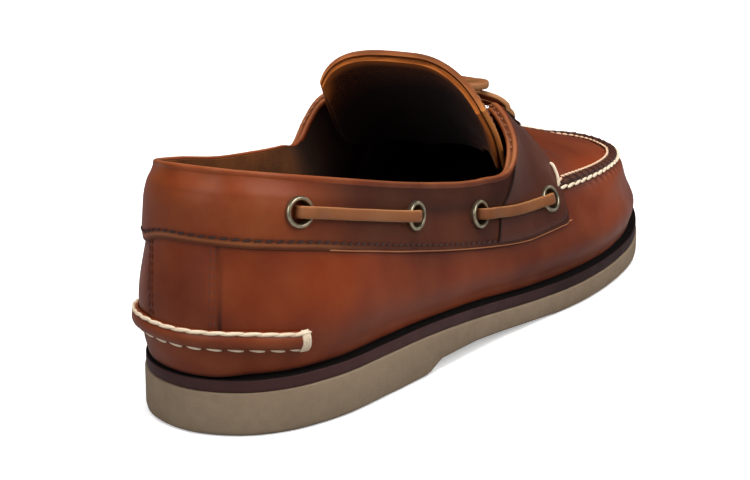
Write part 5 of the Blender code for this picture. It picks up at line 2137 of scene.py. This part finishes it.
@dataclass
class Laces:
    """Rawhide lace through the eyelets, across the tongue and tied in a bow."""

    wide: float = 3.8
    thick: float = 2.1
    along: tuple[float, ...] = (-0.3, 0.0, 0.0, 0.5, 1.5, 4.9, 6.6, 9.4)
    rises: tuple[float, ...] = (-0.2, 2.0, 2.8, 3.8, 4.4, 4.5, 4.0, 3.2)
    tie_along: tuple[float, ...] = (-0.2, 0.0, 0.0, 0.5, 1.4, 3.7)
    tie_rises: tuple[float, ...] = (0.2, 2.5, 3.1, 3.9, 4.4, 4.45)
    crossing: tuple[Stop, ...] = (Stop(18.4, -21.8, 72.2), Stop(9.0, -22.4, 70.8), Stop(0.0, -22.6, 69.6))
    tie: tuple[Stop, ...] = (Stop(21.6, -11.0, 77.0), Stop(15.0, -11.0, 77.4), Stop(7.6, -10.6, 77.8))

    def bar(self, name: str, first: Eyelet, last: Eyelet, side: Side) -> None:
        """The lace between two eyelets, turned down into both holes."""
        turns = np.linspace(LAST.turn_at(first.along, side), LAST.turn_at(last.along, side), 240)
        climbs = np.linspace(first.climb, last.climb, 240)
        points, normals = LAST.point(turns, climbs), LAST.normal(turns, climbs)
        run = runs(points)
        across = unit(np.cross(normals, np.gradient(points, axis=0)))
        length = run[-1]
        ends = np.maximum(np.array(self.along), 0.0)
        middle = np.linspace(ends[-1], length - ends[-1], 12)[1:-1]
        places = np.concatenate([ends, middle, length - ends[::-1]])
        low = np.full(len(middle), EYELETS.band_face + self.thick / 2)
        lifts = np.interp(places, [0, length], [EYELETS.lift(first, side), EYELETS.lift(last, side)])
        rises = np.concatenate([self.rises, low, self.rises[::-1]]) + lifts
        under, out, wide = (read_rows(places, run, rows) for rows in (points, normals, across))
        path = under + out * rises[:, None]
        keep = np.concatenate([[True], np.linalg.norm(np.diff(path, axis=0), axis=1) > 0.05])
        tube = Tube(path[keep], wide[keep], self.wide, self.thick)
        add_piece(name + "_strap", tube.build(), RAWHIDE, [name])

    def from_tie(self, row: Eyelet, side: Side, stops: Sequence[Stop]) -> tuple[Array, Array]:
        """Path and widths of a lace that leaves a tie eyelet inwards."""
        centre, normal = EYELETS.hole_at(row, side)
        rest = [np.array([LAST.axis_x + side.sign * stop.x, LAST.axis_y + stop.y, stop.z]) for stop in stops]
        heading = rest[0] - centre
        heading -= normal * heading.dot(normal)
        heading /= np.linalg.norm(heading)
        lift = EYELETS.lift(row, side)
        near = zip(self.tie_along, self.tie_rises)
        path = [centre + heading * along + normal * (rise + lift) for along, rise in near] + rest
        width = np.cross(normal, heading) * -side.sign
        settle = np.linspace(0, 1, len(path))[:, None]
        widths = width * (1 - settle) + np.array([0.0, 0.62, 0.78]) * np.sign(width[1]) * settle
        return np.array(path), widths

    def build(self) -> None:
        """Make the bars, the ties and the crossing."""
        for side in Side:
            rear_1, rear_2, front_1, front_2, tie_1, tie_2 = EYELETS.rows(side)
            self.bar(f"lace_bar_{side.word}_rear", rear_1, rear_2, side)
            self.bar(f"lace_bar_{side.word}_front", front_1, front_2, side)
            path, widths = self.from_tie(tie_1, side, self.tie)
            bm = Tube(path, widths, self.wide, self.thick).build()
            add_piece(f"lace_tie_{side.word}_strap", bm, RAWHIDE, [f"lace_tie_{side.word}"])
        lateral, lateral_w = self.from_tie(tie_2, Side.LATERAL, self.crossing)
        medial, medial_w = self.from_tie(tie_2, Side.MEDIAL, self.crossing)
        points = np.vstack([lateral, medial[::-1][1:]])
        widths = np.vstack([lateral_w, medial_w[::-1][1:]])
        bm = Tube(points, widths, self.wide, self.thick).build()
        add_piece("lace_crossing_strap", bm, RAWHIDE, ["lace_crossing"])


@dataclass
class Bow:
    """The free lace: two loops, two ends and the knot that holds them."""

    wide: float = 3.6
    thick: float = 3.0
    knot_middle: tuple[float, float, float] = (0.0, -10.4, 80.5)
    knot_radius: float = 3.7
    knot_pitch: float = 4.4
    knot_turns: float = 1.75
    routes: dict[str, tuple[tuple[float, float, float], ...]] = field(
        default_factory=lambda: {
            "lace_loop_lateral": (
                (-3.9, -12.3, 81.0),
                (-6.6, -14.2, 80.8),
                (-11.0, -15.4, 80.4),
                (-16.4, -14.9, 80.3),
                (-21.0, -12.2, 80.9),
                (-23.4, -7.8, 81.3),
                (-21.4, -3.6, 81.2),
                (-16.6, -2.0, 81.4),
                (-11.6, -2.8, 82.8),
                (-7.2, -5.4, 84.2),
                (-3.4, -7.6, 83.8),
            ),
            "lace_loop_medial": (
                (3.3, -12.1, 81.0),
                (5.9, -13.8, 80.8),
                (12.0, -15.2, 80.2),
                (19.0, -13.8, 79.6),
                (24.6, -10.8, 80.6),
                (27.6, -6.2, 82.0),
                (25.2, -2.0, 82.6),
                (19.0, -0.8, 82.8),
                (12.4, -2.2, 83.3),
                (6.8, -5.4, 84.2),
                (3.0, -7.6, 83.8),
            ),
            "lace_end_lateral": (
                (-1.5, -16.2, 78.4),
                (-4.8, -21.8, 76.0),
                (-7.2, -27.6, 71.4),
                (-8.0, -33.4, 66.4),
                (-7.8, -39.4, 62.2),
                (-7.0, -45.6, 58.8),
                (-6.0, -51.6, 56.2),
            ),
            "lace_end_medial": (
                (3.2, -16.3, 78.4),
                (7.8, -21.4, 76.9),
                (14.0, -27.4, 71.6),
                (19.6, -32.4, 66.6),
                (24.6, -37.2, 62.0),
                (28.8, -42.4, 58.4),
                (32.0, -48.0, 55.6),
            ),
        }
    )

    def strand(self, name: str, points: Array, up: Sequence[float]) -> tuple[bpy.types.Object, Array]:
        """Make one strand and give it with its middle line."""
        widths = np.cross(np.gradient(points, axis=0), np.tile(up, (len(points), 1)))
        tube = Tube(points, unit(widths), self.wide, self.thick, square=0.6)
        piece = add_piece(name + "_strand", tube.build(), RAWHIDE, [name])
        return piece, tube.path()

    def build(self) -> None:
        """Make the knot, then each strand."""
        x, y, z = self.knot_middle
        turns = np.linspace(-self.knot_turns / 2, self.knot_turns / 2, 60)
        angle = turns * 2 * math.pi
        coil = np.column_stack([
            LAST.axis_x + x + turns * self.knot_pitch,
            LAST.axis_y + y + self.knot_radius * np.sin(angle),
            z + self.knot_radius * np.cos(angle),
        ])
        knot, _ = self.strand("lace_knot", coil, (1.0, 0.0, 0.0))
        for name, route in self.routes.items():
            points = np.array(route) + (LAST.axis_x, LAST.axis_y, 0.0)
            piece, path = self.strand(name, points, (0.0, 0.0, 1.0))
            float(runs(path)[-1]) * MM
            "knot" if "loop" in name else "bare"
            [tuple(point * MM) for point in path]


# ---- the studio
@dataclass
class Studio:
    """Pale floor, soft lights and the camera behind the outer side of the heel."""

    camera_at: tuple[float, float, float] = (-0.32285, 0.61952, 0.2265)
    heading: float = -61.3
    tilt: float = -16.2
    lens: float = 96.35
    floor_half: float = 4.0
    ambient: float = 0.09
    bounce: float = 0.30
    pale: tuple[float, float, float, float] = (0.93, 0.93, 0.93, 1.0)
    glow: float = 0.35

    def floor(self) -> None:
        """A pale sheet that the shoe stands on."""
        bm = bmesh.new()
        bmesh.ops.create_grid(bm, x_segments=1, y_segments=1, size=self.floor_half)
        mesh = mesh_of("floor", bm)
        item = bpy.data.materials.new("floor")
        item.use_nodes = True
        graph = Graph(item.node_tree)
        shader = item.node_tree.nodes["Principled BSDF"]
        seen = graph.add("ShaderNodeLightPath").outputs["Is Camera Ray"]
        dim = (self.bounce, self.bounce, self.bounce, 1.0)
        color, glow = graph.mix(seen, dim, self.pale), graph.math("MULTIPLY", seen, self.glow)
        graph.fill(shader, {"Base Color": color, "Emission Strength": glow, "Emission Color": WHITE})
        graph.fill(shader, {"Roughness": 0.9, "Specular IOR Level": 0.0})
        mesh.materials.append(item)
        floor = add_object("floor", mesh)

    def lamp(
        self, name: str, place: Sequence[float], size: float, power: float, mirrored: bool = True
    ) -> None:
        """A square soft light that faces the shoe, and shows in its gloss if mirrored."""
        data = bpy.data.lights.new(name, "AREA")
        data.size = size
        data.energy = power
        lamp = add_object(name, data)
        lamp.location = place
        lamp.rotation_euler = (Vector((0, 0, 0.04)) - Vector(place)).to_track_quat("-Z", "Y").to_euler()
        lamp.visible_glossy = mirrored

    def camera(self) -> None:
        """The camera, level across, looking down at the shoe."""
        data = bpy.data.cameras.new("camera")
        data.lens = self.lens
        data.sensor_width = 36.0
        data.clip_start = 0.02
        data.clip_end = 50.0
        camera = add_object("camera", data)
        camera.location = self.camera_at
        across, down = math.radians(self.heading), math.radians(self.tilt)
        look = Vector((math.cos(across) * math.cos(down), math.sin(across) * math.cos(down), math.sin(down)))
        camera.rotation_euler = look.to_track_quat("-Z", "Y").to_euler()
        bpy.context.scene.camera = camera

    def build(self) -> None:
        """Set the whole studio."""
        scene = bpy.context.scene
        scene.view_settings.view_transform = "Standard"
        world = bpy.data.worlds.new("studio")
        world.use_nodes = True
        graph = Graph(world.node_tree)
        seen = graph.add("ShaderNodeLightPath").outputs["Is Camera Ray"]
        around = graph.math("MULTIPLY_ADD", seen, 1.0 - self.ambient, self.ambient)
        graph.feed(world.node_tree.nodes["Background"].inputs["Strength"], around)
        world.node_tree.nodes["Background"].inputs["Color"].default_value = WHITE
        scene.world = world
        self.floor()
        self.camera()
        self.lamp("overhead", (0.0, 0.1, 1.5), size=1.2, power=30.0, mirrored=False)
        self.lamp("key", (-1.3, 0.2, 1.1), size=1.0, power=13.5)
        self.lamp("rear", (0.2, 1.5, 0.9), size=1.0, power=9.5)
        self.lamp("front", (-0.8, -1.3, 0.7), size=0.5, power=2.0)


# ---- assembly
EYELETS = Eyelets()
BAND = QuarterBand()
UPPER = Upper(
    creases=(
        Crease((0.30, 0.30), (0.335, 0.12), -0.4, 5.0),
        Crease((0.345, 0.42), (0.365, 0.14), -0.4, 6.0),
        Crease((0.20, 0.32), (0.27, 0.20), 0.5, 8.0),
        Crease((0.70, 0.30), (0.665, 0.12), -0.45, 5.0),
        Crease((0.64, 0.42), (0.63, 0.14), -0.4, 6.0),
    )
)


def main() -> None:
    """Build the shoe piece by piece."""
    logging.basicConfig(level=logging.INFO, format="%(message)s")
    Studio().build()
    Bow().build()
    Laces().build()
    EYELETS.build()
    Sole().build()
    UPPER.build()
    drill = EYELETS.drill()
    BAND.build(drill)
    bpy.data.objects.remove(drill, do_unlink=True)
    MocSeam().build()
    HeelBar().build()
    Tongue().build()


if __name__ == "__main__":
    main()
